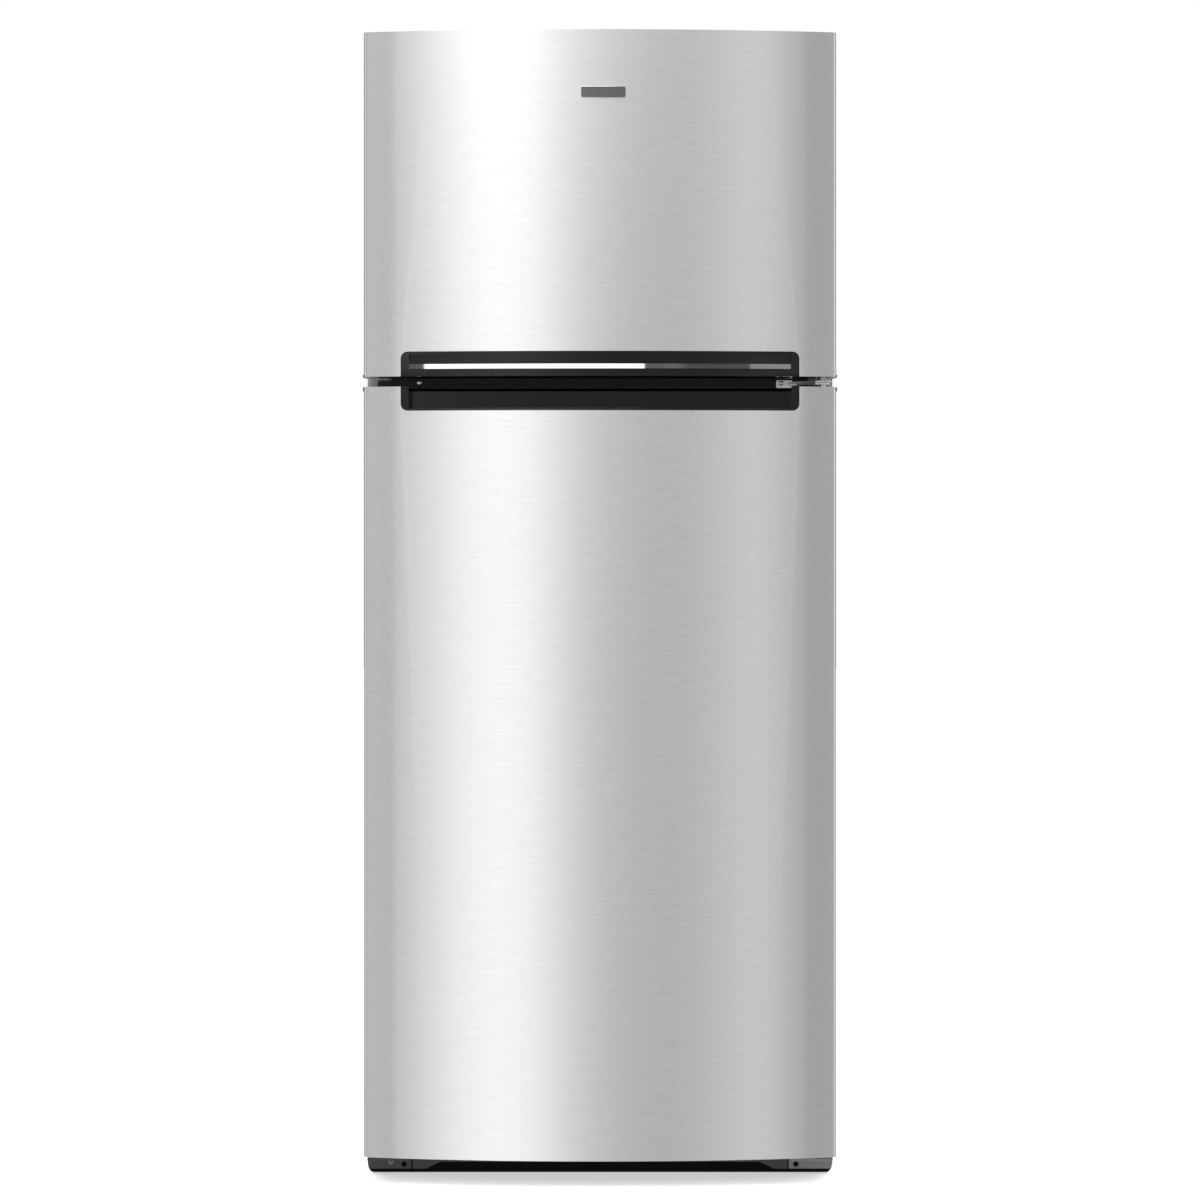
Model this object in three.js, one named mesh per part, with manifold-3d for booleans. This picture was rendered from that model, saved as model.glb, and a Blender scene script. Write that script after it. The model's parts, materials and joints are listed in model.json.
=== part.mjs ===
// Top freezer refrigerator: an upright cabinet with a freezer above a fresh-food compartment, each
// closed by a crowned steel door hinged on its right. Millimetres, +Z up, +Y towards the back.
// The origin is on the floor, in the middle of the width and of the overall depth.
import * as THREE from "three";
import { mergeVertices } from "three/addons/utils/BufferGeometryUtils.js";
import Module from "manifold-3d";

const wasm = await Module();
wasm.setup();

// ---------------------------------------------------------------- driving dimensions
const width = 706; // cabinet and door skins, side to side
const depth = 740; // crown of the doors to the rearmost cover
const floorToDoor = 42; // floor to the underside of the lower door
const fridgeDoorHeight = 1150;
const freezerDoorHeight = 514;
const doorGap = 15; // between the two doors, where the centre hinge sits
const doorEdge = 58; // thickness of a door at its sides
const crown = 26; // how far the middle of a door stands forward of its sides
const doorCornerRadius = 7; // bend of the skin between its front and its sides
const gasketGap = 10; // from a door's liner to the cabinet face
const topStep = 13; // the cabinet's top lies this far below the upper door's top
const shellBottom = 12; // floor to the lower edge of the cabinet's side panels
const rearStandoff = 10; // how far the rear cover stands out of the cabinet's back
const sheet = 0.8; // steel skins, shell and back
const linerWall = 2; // thermoformed liners
const seat = 0.3; // clearance left where two pieces touch
const capOverhang = 2; // the black door caps stand this far proud of the skin's sides
const capPlate = 3; // thickness of a door cap's plate
const freezerEar = 3.7; // height of the upper door's cap where it wraps the skin's sides
const fridgeEar = 6; // and of the lower door's

// Insulation thicknesses, which set the two compartments
const freezerSideWall = 55;
const fridgeSideWall = 42;
const topWall = 53;
const backWall = 60;
const mullionHeight = 70; // between the two compartments
const fridgeFloorHeight = 95; // floor to the bottom of the fresh-food compartment
const machineDepth = 200; // compressor compartment, front to back
const machineHeight = 255; // floor to its ceiling
const machineWall = 45; // insulation over the compressor compartment

const badgeSize = [66, 16];
const badgeProud = 1.2;
const badgeBelowTop = 93; // from the upper door's top to the badge's middle

// Hinge line, shared by all three hinges
const hingeFromSide = 17;
const hingeFromBack = 19;
const pinRadius = 5;
const pinClearance = 0.3;
const hingePlate = 4;

// ---------------------------------------------------------------- places worked out from them
const half = width / 2;
const front = -depth / 2 + badgeProud + seat; // crown of the doors, which the badge stands out from
const doorFront = front + crown; // front of a door at its sides
const doorBack = doorFront + doorEdge;
const cabinetFront = doorBack + gasketGap;
const cabinetBack = depth / 2 - rearStandoff;
const fridgeDoorTop = floorToDoor + fridgeDoorHeight;
const freezerDoorBottom = fridgeDoorTop + doorGap;
const freezerDoorTop = freezerDoorBottom + freezerDoorHeight;
const cabinetTop = freezerDoorTop - topStep;
const mullionMiddle = fridgeDoorTop + doorGap / 2;
const fridgeCeiling = mullionMiddle - mullionHeight / 2;
const freezerFloor = mullionMiddle + mullionHeight / 2;
const freezerCeiling = cabinetTop - topWall;
const fridgeHalf = half - fridgeSideWall;
const freezerHalf = half - freezerSideWall;
const linerBack = cabinetBack - backWall;
const hingeX = half - hingeFromSide;
const hingeY = doorBack - hingeFromBack;
const skinBack = doorBack - linerWall - seat; // rear face of a door skin's return flange
const crownRadius = (half * half + crown * crown) / (2 * crown);

// ---------------------------------------------------------------- materials
const finish = (color, roughness, metalness = 0) =>
  new THREE.MeshStandardMaterial({ color, roughness, metalness });
const stainless = finish(0xc9c9c8, 0.32, 1);
const paintedGrey = finish(0x9fa2a4, 0.45);
const galvanised = finish(0xb4b8ba, 0.5, 0.8);
const chromed = finish(0xd8d8d8, 0.15, 1);
const blackGloss = finish(0x141414, 0.18);
const blackPlastic = finish(0x1d1d1f, 0.5);
const darkGrey = finish(0x3a3a3c, 0.55);
const whitePlastic = finish(0xf0f1ef, 0.35);
const greyRubber = finish(0xa7aaab, 0.8);
const clearPlastic = finish(0xdfe8ec, 0.1);
const clearGlass = finish(0xd4e6e2, 0.05);
const foam = finish(0xe9dfb8, 0.95);
const blackEnamel = finish(0x101010, 0.35);
const bareAluminium = finish(0xc2c5c7, 0.4, 1);
const whiteWire = finish(0xf4f4f2, 0.4);

// ---------------------------------------------------------------- solids
// A closed geometry as a solid that can be cut and joined.
function solid(geometry) {
  const bare = geometry.index ? geometry.toNonIndexed() : geometry;
  bare.deleteAttribute("normal");
  bare.deleteAttribute("uv");
  const merged = mergeVertices(bare, 1e-4);
  return new wasm.Manifold(
    new wasm.Mesh({
      numProp: 3,
      vertProperties: merged.attributes.position.array,
      triVerts: new Uint32Array(merged.index.array),
    }),
  );
}

// The stretch between two places, lower one first.
const span = (one, other) => [Math.min(one, other), Math.max(one, other)];

const join = (first, ...others) => others.reduce((sum, other) => sum.add(other), first);
const cut = (first, ...others) => others.reduce((rest, other) => rest.subtract(other), first);

// A rectangular block between two values on each axis.
function block([x0, x1], [y0, y1], [z0, z1]) {
  const geometry = new THREE.BoxGeometry(x1 - x0, y1 - y0, z1 - z0);
  return solid(geometry.translate((x0 + x1) / 2, (y0 + y1) / 2, (z0 + z1) / 2));
}

function shapeOf(points, holes = []) {
  const shape = new THREE.Shape(points.map(([u, v]) => new THREE.Vector2(u, v)));
  shape.holes = holes.map((hole) => new THREE.Path(hole.map(([u, v]) => new THREE.Vector2(u, v))));
  return shape;
}

const extruded = (points, length, holes) =>
  new THREE.ExtrudeGeometry(shapeOf(points, holes), { depth: length, bevelEnabled: false });

// Prisms along Z, X and Y. Their outlines are in (x, y), (y, z) and (x, z).
const prismZ = (points, [z0, z1], holes) =>
  solid(extruded(points, z1 - z0, holes).translate(0, 0, z0));
const prismX = (points, [x0, x1], holes) =>
  solid(extruded(points, x1 - x0, holes).rotateX(Math.PI / 2).rotateZ(Math.PI / 2).translate(x0, 0, 0));
const prismY = (points, [y0, y1], holes) =>
  solid(extruded(points, y1 - y0, holes).rotateX(Math.PI / 2).translate(0, y1, 0));

// A round bar along an axis, centred on a point of the two other axes.
function bar(axis, radius, [from, to], [u, v], sides = 24) {
  const geometry = new THREE.CylinderGeometry(radius, radius, to - from, sides);
  const middle = (from + to) / 2;
  if (axis === "x") return solid(geometry.rotateZ(-Math.PI / 2).translate(middle, u, v));
  if (axis === "y") return solid(geometry.translate(u, middle, v));
  return solid(geometry.rotateX(Math.PI / 2).translate(u, v, middle));
}

// A profile of (radius, height) points turned about Z.
const turned = (profile, sides = 24) =>
  solid(
    new THREE.LatheGeometry(profile.map(([r, z]) => new THREE.Vector2(r, z)), sides).rotateX(Math.PI / 2),
  );

// A closed outline with the corners named by index rounded to a radius.
function rounded(points, radius, corners = points.map((_, i) => i), steps = 4) {
  return points.flatMap((point, i) => {
    if (!corners.includes(i)) return [point];
    const at = new THREE.Vector2(...point);
    const before = new THREE.Vector2(...points.at(i - 1)).sub(at).normalize();
    const after = new THREE.Vector2(...points[(i + 1) % points.length]).sub(at).normalize();
    const opening = Math.acos(before.dot(after));
    const reach = radius / Math.tan(opening / 2);
    const centre = before.clone().add(after).normalize().multiplyScalar(
      radius / Math.sin(opening / 2),
    ).add(at);
    const start = before.multiplyScalar(reach).add(at).sub(centre);
    const end = after.multiplyScalar(reach).add(at).sub(centre);
    let sweep = end.angle() - start.angle();
    if (sweep > Math.PI) sweep -= 2 * Math.PI;
    if (sweep < -Math.PI) sweep += 2 * Math.PI;
    return Array.from({ length: steps + 1 }, (_, k) => {
      const p = start.clone().rotateAround(new THREE.Vector2(), (sweep * k) / steps).add(centre);
      return [p.x, p.y];
    });
  });
}

const rectangle = ([u0, u1], [v0, v1]) => [[u0, v0], [u1, v0], [u1, v1], [u0, v1]];

// A closed strip of a given thickness on the left of an open chain of points.
function ribbon(points, thickness) {
  const normals = points.slice(1).map(([u, v], i) => {
    const [u0, v0] = points[i];
    return new THREE.Vector2(v0 - v, u - u0).normalize();
  });
  const moved = points.map(([u, v], i) => {
    const before = normals[Math.max(0, i - 1)];
    const after = normals[Math.min(normals.length - 1, i)];
    const mitre = before.clone().add(after).normalize();
    return [u, v].map((c, k) => c + (thickness * mitre.getComponent(k)) / mitre.dot(after));
  });
  return [...points, ...moved.reverse()];
}

// One named mesh. Its solid is drawn about its own origin and placed at a point.
function piece(name, material, made, place = [0, 0, 0]) {
  const mesh = made.getMesh();
  const geometry = new THREE.BufferGeometry();
  geometry.setAttribute("position", new THREE.BufferAttribute(mesh.vertProperties, 3));
  geometry.setIndex(new THREE.BufferAttribute(mesh.triVerts, 1));
  geometry.computeVertexNormals();
  const node = new THREE.Mesh(geometry, material);
  node.name = name;
  node.position.set(...place);
  return node;
}

function group(place, ...children) {
  const made = new THREE.Group();
  made.position.set(...place);
  made.add(...children);
  return made;
}

// ---------------------------------------------------------------- cabinet
const flangeWidth = 37; // the shell's front flange, which the gaskets close on
const flangeInner = half - flangeWidth;
const topFlangeBottom = freezerCeiling + 17;
const shellCornerRadius = 8;
const shellInside = half - sheet - seat;
const deckBottom = 49;
const deckSheet = 1;
const machineFront = cabinetBack - machineDepth;
const machineSlope = 50; // the sloping stretch of the compartment's front, back to front
const machineSlopeRise = 65;
const fridgeStepY = machineFront - machineWall;
const fridgeLedge = machineHeight + machineWall;

function cabinetShell() {
  const outline = (inset) => {
    const side = half - inset;
    const top = cabinetTop - inset;
    return rounded(
      [[-side, shellBottom], [-side, top], [side, top], [side, shellBottom]],
      shellCornerRadius - inset,
      [1, 2],
    );
  };
  const wrap = prismY([...outline(0), ...outline(sheet).reverse()], [cabinetFront, cabinetBack]);
  const faceY = [cabinetFront, cabinetFront + sheet];
  const flange = (side) =>
    block(side < 0 ? [-half + sheet / 2, -flangeInner] : [flangeInner, half - sheet / 2], faceY, [
      deckBottom,
      cabinetTop - shellCornerRadius,
    ]);
  const topFlange = block([-flangeInner, flangeInner], faceY, [topFlangeBottom, cabinetTop - sheet / 2]);
  const shoulders = block([-half + shellCornerRadius, half - shellCornerRadius], faceY, [
    cabinetTop - shellCornerRadius - 1,
    cabinetTop - sheet / 2,
  ]);
  return join(wrap, flange(-1), flange(1), topFlange, shoulders);
}

// The fresh-food compartment from the side: its floor steps up over the compressor compartment.
function fridgeSection(wall) {
  return [
    [cabinetFront, fridgeFloorHeight - wall],
    [fridgeStepY + wall, fridgeFloorHeight - wall],
    [fridgeStepY + wall, machineHeight - machineSlopeRise + machineWall / 2 - wall / 2],
    [fridgeStepY + machineSlope + wall, fridgeLedge - wall],
    [linerBack + wall, fridgeLedge - wall],
    [linerBack + wall, fridgeCeiling + wall],
    [cabinetFront, fridgeCeiling + wall],
  ];
}

// The galvanised deck under the insulation, from the front flange back over the compressor.
const deckLine = [
  [cabinetFront, fridgeFloorHeight - linerWall - seat],
  [cabinetFront, deckBottom],
  [machineFront + deckSheet, deckBottom],
  [machineFront + deckSheet, machineHeight - machineSlopeRise],
  [machineFront + machineSlope, machineHeight],
  [cabinetBack - sheet - seat, machineHeight],
];
function bottomDeck() {
  const besideFlange = (side) => {
    const xs = span(side * (flangeInner - seat), side * half);
    return block(xs, [cabinetFront - 1, cabinetFront + sheet + seat], [0, fridgeFloorHeight]);
  };
  return cut(
    prismX(ribbon(deckLine, deckSheet), [-shellInside, shellInside]),
    besideFlange(-1),
    besideFlange(1),
  );
}

const dykeGap = 8; // from a door liner's raised walls to the compartment's side
const dykeWidth = 18;
const dykeDepth = 58; // how far those walls stand behind the door's flange
const evaporatorCoverY = linerBack - 72;
const switchRadius = 4;
const switchPlace = [
  fridgeHalf - dykeGap - dykeWidth / 2,
  doorBack + dykeDepth + seat,
  fridgeCeiling - 74.5,
];
const shelfLedge = 8; // moulded ledges in the liners that carry the shelves
const shelfSpecs = { freezer: freezerFloor + 205.5, upper: fridgeLedge + 500, lower: fridgeLedge + 260 };
const shelfFront = doorBack + 126; // front edges of all the shelves, clear of the door bins
const crisperFront = shelfFront + 48;
const crisperDepth = fridgeStepY - crisperFront - 7.5; // clear of the step over the compressor

function ledges(inner, zs, [y0, y1]) {
  return zs.flatMap((z) =>
    [-1, 1].map((side) => {
      const xs = side < 0 ? [
        -inner - linerWall / 2,
        -inner + shelfLedge,
      ] : [inner - shelfLedge, inner + linerWall / 2];
      return block(xs, [y0, y1], [z - 10, z]);
    }),
  );
}

function fridgeLiner() {
  const outside = prismX(fridgeSection(linerWall), [-fridgeHalf - linerWall, fridgeHalf + linerWall]);
  const inside = prismX(
    fridgeSection(0).map(([y, z]) => [y === cabinetFront ? y - 1 : y, z]),
    [-fridgeHalf, fridgeHalf],
  );
  const lip = block([-flangeInner + seat, flangeInner - seat], [cabinetFront, cabinetFront + linerWall], [
    fridgeFloorHeight - linerWall,
    fridgeCeiling + linerWall,
  ]);
  const shelves = ledges(
    fridgeHalf,
    [shelfSpecs.lower, shelfSpecs.upper],
    [shelfFront + 20, linerBack - 20],
  );
  const crisperLedges = ledges(
    fridgeHalf,
    [fridgeLedge],
    [crisperFront, crisperFront + crisperDepth - 10],
  );
  const podX = [switchPlace[0] - 9, fridgeHalf + linerWall / 2];
  const podZ = [switchPlace[2] - 11, switchPlace[2] + 11];
  const pod = block(podX, [switchPlace[1] + 9, switchPlace[1] + 30], podZ);
  const socket = bar(
    "y",
    switchRadius + pinClearance,
    [front, switchPlace[1] + 28],
    [switchPlace[0], switchPlace[2]],
    16,
  );
  return cut(join(cut(join(outside, lip), inside), ...shelves, ...crisperLedges, pod), socket);
}

function freezerLiner() {
  const side = freezerHalf + linerWall;
  const outside = block([-side, side], [cabinetFront, linerBack + linerWall], [
    freezerFloor - linerWall,
    freezerCeiling + linerWall,
  ]);
  const inside = block(
    [-freezerHalf, freezerHalf],
    [cabinetFront - 1, linerBack],
    [freezerFloor, freezerCeiling],
  );
  const lip = block([-flangeInner + seat, flangeInner - seat], [cabinetFront, cabinetFront + linerWall], [
    freezerFloor - linerWall,
    topFlangeBottom - seat,
  ]);
  const shelf = ledges(freezerHalf, [shelfSpecs.freezer], [shelfFront + 20, evaporatorCoverY - 20]);
  return join(cut(join(outside, lip), inside), ...shelf);
}

function cabinetFoam() {
  const frontFace = cabinetFront + linerWall + seat;
  const section = [
    ...ribbon(deckLine, deckSheet + seat)
      .slice(deckLine.length)
      .reverse()
      .slice(1)
      .map(([y, z]) => [Math.max(y, frontFace), z]),
    [cabinetBack - sheet - seat, cabinetTop - sheet - seat],
    [frontFace, cabinetTop - sheet - seat],
  ];
  const side = shellInside;
  const body = prismX(section, [-side, side]);
  const corner = shellCornerRadius;
  const chamfers = [-1, 1].map((s) =>
    prismY(
      [
        [s * (side + 1), cabinetTop - corner - 1],
        [s * (side + 1), cabinetTop],
        [s * (side - corner), cabinetTop],
      ].sort((a, b) => s * (a[0] - b[0])),
      [front, depth / 2],
    ),
  );
  const gap = linerWall + seat;
  const fridge = prismX(
    fridgeSection(gap).map(([y, z]) => [y === cabinetFront ? y - 1 : y, z]),
    [-fridgeHalf - gap, fridgeHalf + gap],
  );
  const freezer = block([-freezerHalf - gap, freezerHalf + gap], [front, linerBack + gap], [
    freezerFloor - gap,
    freezerCeiling + gap,
  ]);
  return cut(body, ...chamfers, fridge, freezer);
}

const mullionRail = () =>
  block([-flangeInner + seat, flangeInner - seat], [cabinetFront, cabinetFront + linerWall], [
    fridgeCeiling + linerWall + seat,
    freezerFloor - linerWall - seat,
  ]);

function backPanel() {
  const low = machineHeight + 2 * deckSheet + seat;
  const high = cabinetTop - sheet - seat;
  const outline = rounded(
    [[-shellInside, low], [-shellInside, high], [shellInside, high], [shellInside, low]],
    shellCornerRadius - sheet - seat,
    [1, 2],
  );
  return prismY(outline, [cabinetBack - sheet, cabinetBack]);
}

// ---------------------------------------------------------------- hinges and feet
const footX = half - 35;
const footY = -245;
const footStem = 5;
const bracketInner = half - 68;
const bracketOuter = half - 3;
const lowPlate = 30; // floor to the underside of the bottom brackets
const pinReach = 13; // how far a hinge pin goes into a door
const apronSetback = 10; // a bracket's front stands this far behind the hinge line
const apronSheet = 3;
const apronLow = 13; // floor to the lower edge of the brackets' fronts and the kick panel

function topHinge() {
  const z = [cabinetTop + seat, cabinetTop + seat + hingePlate];
  const arm = rounded(
    [
      [hingeX - 56, cabinetFront + 90],
      [hingeX - 56, cabinetFront + 8],
      [hingeX - 12, hingeY - 12],
      [hingeX + 12, hingeY - 12],
      [hingeX + 12, cabinetFront + 90],
    ],
    9,
  );
  const pin = bar("z", pinRadius, [z[0] - pinReach, z[0] + 1], [hingeX, hingeY]);
  return join(prismZ(arm, z), pin);
}

function topHingeCover() {
  const outer = block(
    [hingeX - 62, half - 3],
    [cabinetFront + 3, cabinetFront + 100],
    [cabinetTop + seat, freezerDoorTop - 2],
  );
  const room = block(
    [hingeX - 58, half - 5],
    [cabinetFront, cabinetFront + 96],
    [cabinetTop, freezerDoorTop - 4],
  );
  return cut(outer, room);
}

const centrePlate = { low: mullionMiddle - 2.5, thick: 6 };

function centreHinge() {
  const z = [centrePlate.low, centrePlate.low + centrePlate.thick];
  const root = block(
    [hingeX - 69, hingeX - 18],
    [cabinetFront - seat - 3, cabinetFront - seat],
    [mullionMiddle - 6, mullionMiddle + 6],
  );
  const arm = prismZ(
    rounded(
      [
        [hingeX - 42, cabinetFront - seat - 2],
        [hingeX - 42, cabinetFront - 8],
        [hingeX - 12, hingeY - 10],
        [hingeX + 11, hingeY - 10],
        [hingeX + 11, cabinetFront - seat - 2],
      ],
      6,
      [1, 2, 3],
    ),
    z,
  );
  const pin = bar(
    "z",
    pinRadius,
    [fridgeDoorTop - pinReach, freezerDoorBottom + pinReach],
    [hingeX, hingeY],
  );
  return join(root, arm, pin);
}

// The bracket under each front corner: it carries a levelling foot, and on the right the lower pin.
function cornerBracket(side, withPin) {
  const xs = span(side * bracketInner, side * bracketOuter);
  const plate = block(xs, [hingeY - 12, footY + 35], [lowPlate, lowPlate + hingePlate]);
  const face = [hingeY + apronSetback, hingeY + apronSetback + apronSheet];
  const apron = block(xs, face, [apronLow, lowPlate + 1]);
  const web = (x) => block(
    [x - 1.5, x + 1.5],
    [cabinetFront + 4, footY + 35],
    [lowPlate + 1, deckBottom - seat],
  );
  const webs = xs.map((x, i) => web(x + (i ? -1.5 : 1.5)));
  const stemHole = bar(
    "z",
    footStem + 0.5,
    [lowPlate - 1, lowPlate + hingePlate + 1],
    [side * footX, footY],
  );
  const boltHole = bar("y", 4, [hingeY, hingeY + 20], [side * (bracketInner + 11), 20], 16);
  const body = cut(join(plate, apron, ...webs), stemHole, boltHole);
  if (!withPin) return body;
  return join(body, bar("z", pinRadius, [lowPlate + 1, floorToDoor + pinReach], [hingeX, hingeY]));
}

const levellingFoot = () =>
  join(
    turned([[0, 0], [14, 0], [16, 2], [16, 6], [13, 8], [0, 8]]),
    bar("z", 9, [7.5, 15], [0, 0], 6),
    bar("z", footStem, [14.5, deckBottom - 4], [0, 0], 16),
  );

// The grille that closes the gap over the floor, set back behind the kick panel and moulded with it.
const grilleHalf = bracketInner - 2;
const grilleEnd = bracketOuter + 1; // it runs on behind the brackets' aprons
const grilleLow = 3; // floor clearance
const grilleThick = 8;
const grilleWall = 3;
const grilleFront = cabinetFront + 1;
const grilleSlots = { count: 10, width: 40, low: 30, high: 34, margin: 30 };

function toeGrille() {
  const high = deckBottom - seat;
  const shoulder = lowPlate - seat;
  const outline = rounded(
    [
      [-grilleEnd, grilleLow],
      [-grilleEnd, shoulder],
      [-grilleHalf, shoulder],
      [-grilleHalf, high],
      [grilleHalf, high],
      [grilleHalf, shoulder],
      [grilleEnd, shoulder],
      [grilleEnd, grilleLow],
    ],
    8,
    [0, 7],
  );
  const plate = prismY(outline, [grilleFront, grilleFront + grilleThick]);
  const hollow = block(
    [-grilleHalf + grilleWall, grilleHalf - grilleWall],
    [grilleFront + grilleWall, grilleFront + grilleThick + 1],
    [grilleLow + grilleWall, high - grilleWall],
  );
  const { count, width: slotWidth, low, high: slotTop, margin } = grilleSlots;
  const slots = Array.from({ length: count }, (_, i) => {
    const x = -grilleHalf + margin + (i * 2 * (grilleHalf - margin)) / (count - 1);
    return block(
      [x - slotWidth / 2, x + slotWidth / 2],
      [grilleFront - 1, grilleFront + 4],
      [low, slotTop],
    );
  });
  return cut(plate, hollow, ...slots);
}

// The moulded panel under the doors between the brackets, arched along its lower edge.
const kickTop = floorToDoor - 4;
const kickWall = 3;
const arch = { foot: 265, crown: 242, high: 23.5, radius: 26 };

function kickPanel() {
  const face = hingeY + apronSetback;
  const section = [
    [face, apronLow],
    [face, kickTop],
    [grilleFront + 1, kickTop],
    [grilleFront + 1, kickTop - kickWall],
    [face + kickWall, kickTop - kickWall],
    [face + kickWall, apronLow],
  ];
  const opening = rounded(
    [
      [-arch.foot, apronLow - 1],
      [-arch.crown, arch.high],
      [arch.crown, arch.high],
      [arch.foot, apronLow - 1],
    ],
    arch.radius,
    [1, 2],
  );
  return cut(
    prismX(section, [-grilleHalf, grilleHalf]),
    prismY(opening, [face - 1, face + kickWall + 1]),
  );
}

// ---------------------------------------------------------------- compressor compartment
const trayTop = 18;
const traySheet = 1.5;
const trayFront = machineFront + 8;
const trayBack = cabinetBack - 4;
const rollerRadius = 17;
const rollerWidth = 14;
const rollerX = half - 31;
const rollerY = cabinetBack - 28;
const compressorPlace = [-180, machineFront + machineDepth / 2, trayTop];
const fanX = 0;
const fanHeight = 120;
const machineMiddleY = machineFront + machineDepth / 2;

function baseTray() {
  const section = ribbon(
    [
      [trayFront, trayTop + 16],
      [trayFront, trayTop - traySheet],
      [trayBack, trayTop - traySheet],
      [trayBack, trayTop + 16],
    ],
    traySheet,
  );
  const pan = prismX(section, [-shellInside, shellInside]);
  const wheelSlot = (side) =>
    block(
      [side * rollerX - rollerWidth / 2 - 3, side * rollerX + rollerWidth / 2 + 3],
      [rollerY - rollerRadius - 4, rollerY + rollerRadius + 4],
      [0, 50],
    );
  const ear = (x) => block([x - 1, x + 1], [rollerY - 8, rollerY + 8], [trayTop - 1, rollerRadius + 9]);
  const ears = [-1, 1].flatMap(
    (side) => [-1, 1].map((e) => ear(side * rollerX + e * (rollerWidth / 2 + 5))),
  );
  const axleHoles = bar("x", 3.5, [-half, half], [rollerY, rollerRadius], 12);
  return cut(join(cut(pan, wheelSlot(-1), wheelSlot(1)), ...ears), axleHoles);
}

// A nylon wheel with its axle stubs, turning in the tray's ears.
const rearRoller = () =>
  join(
    bar("x", rollerRadius, [-rollerWidth / 2, rollerWidth / 2], [0, 0], 28),
    bar("x", 3, [-14, 14], [0, 0], 12),
  );

function compressor() {
  const can = turned(
    [
      [0, 22],
      [60, 22],
      [72, 34],
      [76, 60],
      [78, 66],
      [76, 72],
      [73, 120],
      [62, 148],
      [36, 163],
      [0, 167],
    ],
    20,
  );
  const feet = [[-1, -1], [-1, 1], [1, -1], [1, 1]].map(
    ([sx, sy]) => bar("z", 9, [seat, 21], [sx * 76, sy * 48], 12),
  );
  const base = prismZ(rounded(rectangle([-90, 90], [-62, 62]), 12), [20, 24]);
  const relay = prismX(rounded(rectangle([-28, 28], [70, 128]), 6), [70, 100]);
  const stub = bar("x", 4, [-105, -60], [20, 95], 12);
  return join(can, base, relay, stub, ...feet);
}

const coilLeft = 75;
const coilRight = half - 65;

// A serpentine of steel tube in two layers, tied by plates.
function condenser() {
  const rows = [40 - machineDepth / 2, 0, machineDepth / 2 - 40];
  const levels = [90, 170];
  const tubes = levels.flatMap(
    (z) => rows.map((y) => bar("x", 5, [coilLeft, coilRight], [machineMiddleY + y, z], 6)),
  );
  const bends = levels.flatMap((z) =>
    rows.slice(1).map((y, i) =>
      bar(
        "y",
        5,
        [machineMiddleY + rows[i] - 4, machineMiddleY + y + 4],
        [i % 2 ? coilLeft : coilRight, z],
        6,
      ),
    ),
  );
  const risers = levels.slice(1).map((z, i) =>
    bar("z", 5, [levels[i] - 4, z + 4], [coilLeft, machineMiddleY + rows.at(i ? 0 : -1)], 6),
  );
  const plateX = Array.from(
    { length: 4 },
    (_, i) => coilLeft + 14 + (i * (coilRight - coilLeft - 28)) / 3,
  );
  const plates = plateX.map((x) =>
    block([x - 0.8, x + 0.8], [machineFront + 28, cabinetBack - 28], [64, 208]),
  );
  const legs = [plateX.at(0), plateX.at(-1)].map((x) =>
    block([x - 2, x + 2], [machineFront + 10, machineFront + 30], [trayTop + seat, 100]),
  );
  return join(...tubes, ...bends, ...risers, ...plates, ...legs);
}

function drainPan() {
  const outer = prismZ(
    rounded(rectangle([coilLeft - 4, coilRight + 6], [machineFront + 34, cabinetBack - 16]), 10),
    [trayTop + seat, 58],
  );
  const inner = prismZ(
    rounded(rectangle([coilLeft - 2, coilRight + 4], [machineFront + 36, cabinetBack - 18]), 8),
    [trayTop + 3, 60],
  );
  return cut(outer, inner);
}

// Four pitched blades on a hub, about the X axis.
function fan(radius, hubRadius, hubLength, blades, pitch) {
  const bore = bar("x", 3.4, [-hubLength, hubLength], [0, 0], 12);
  const hub = cut(bar("x", hubRadius, [-hubLength / 2, hubLength / 2], [0, 0], 20), bore);
  const vanes = Array.from({ length: blades }, (_, i) => {
    const outline = rounded(
      [
        [hubRadius - 2, -radius * 0.2],
        [radius * 0.94, -radius * 0.36],
        [radius * 0.94, radius * 0.36],
        [hubRadius - 2, radius * 0.2],
      ],
      6,
      [1, 2],
    );
    const vane = new THREE.ExtrudeGeometry(shapeOf(outline), { depth: 1.6, bevelEnabled: false })
      .translate(0, 0, -0.8)
      .rotateX(pitch)
      .rotateZ(Math.PI / 2)
      .rotateX((2 * Math.PI * i) / blades);
    return solid(vane);
  });
  return cut(join(hub, ...vanes), bar("x", 3.4, [-hubLength, hubLength], [0, 0], 12));
}

const fanRadius = 62;

const fanToMotor = 22; // from a fan's middle to the face of its motor

function condenserFanMotor() {
  const can = bar("x", 24, [0, 42], [0, 0], 20);
  const shaft = bar("x", 3, [41, 42 + fanToMotor + 4], [0, 0], 12);
  const bracket = block([8, 12], [-70, 70], [-8, 8]);
  const legs = [-62, 62].map((y) => block([8, 12], [y - 8, y + 8], [trayTop + seat - fanHeight, 8]));
  return join(can, shaft, bracket, ...legs);
}

const coverHalf = half - 4;

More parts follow.
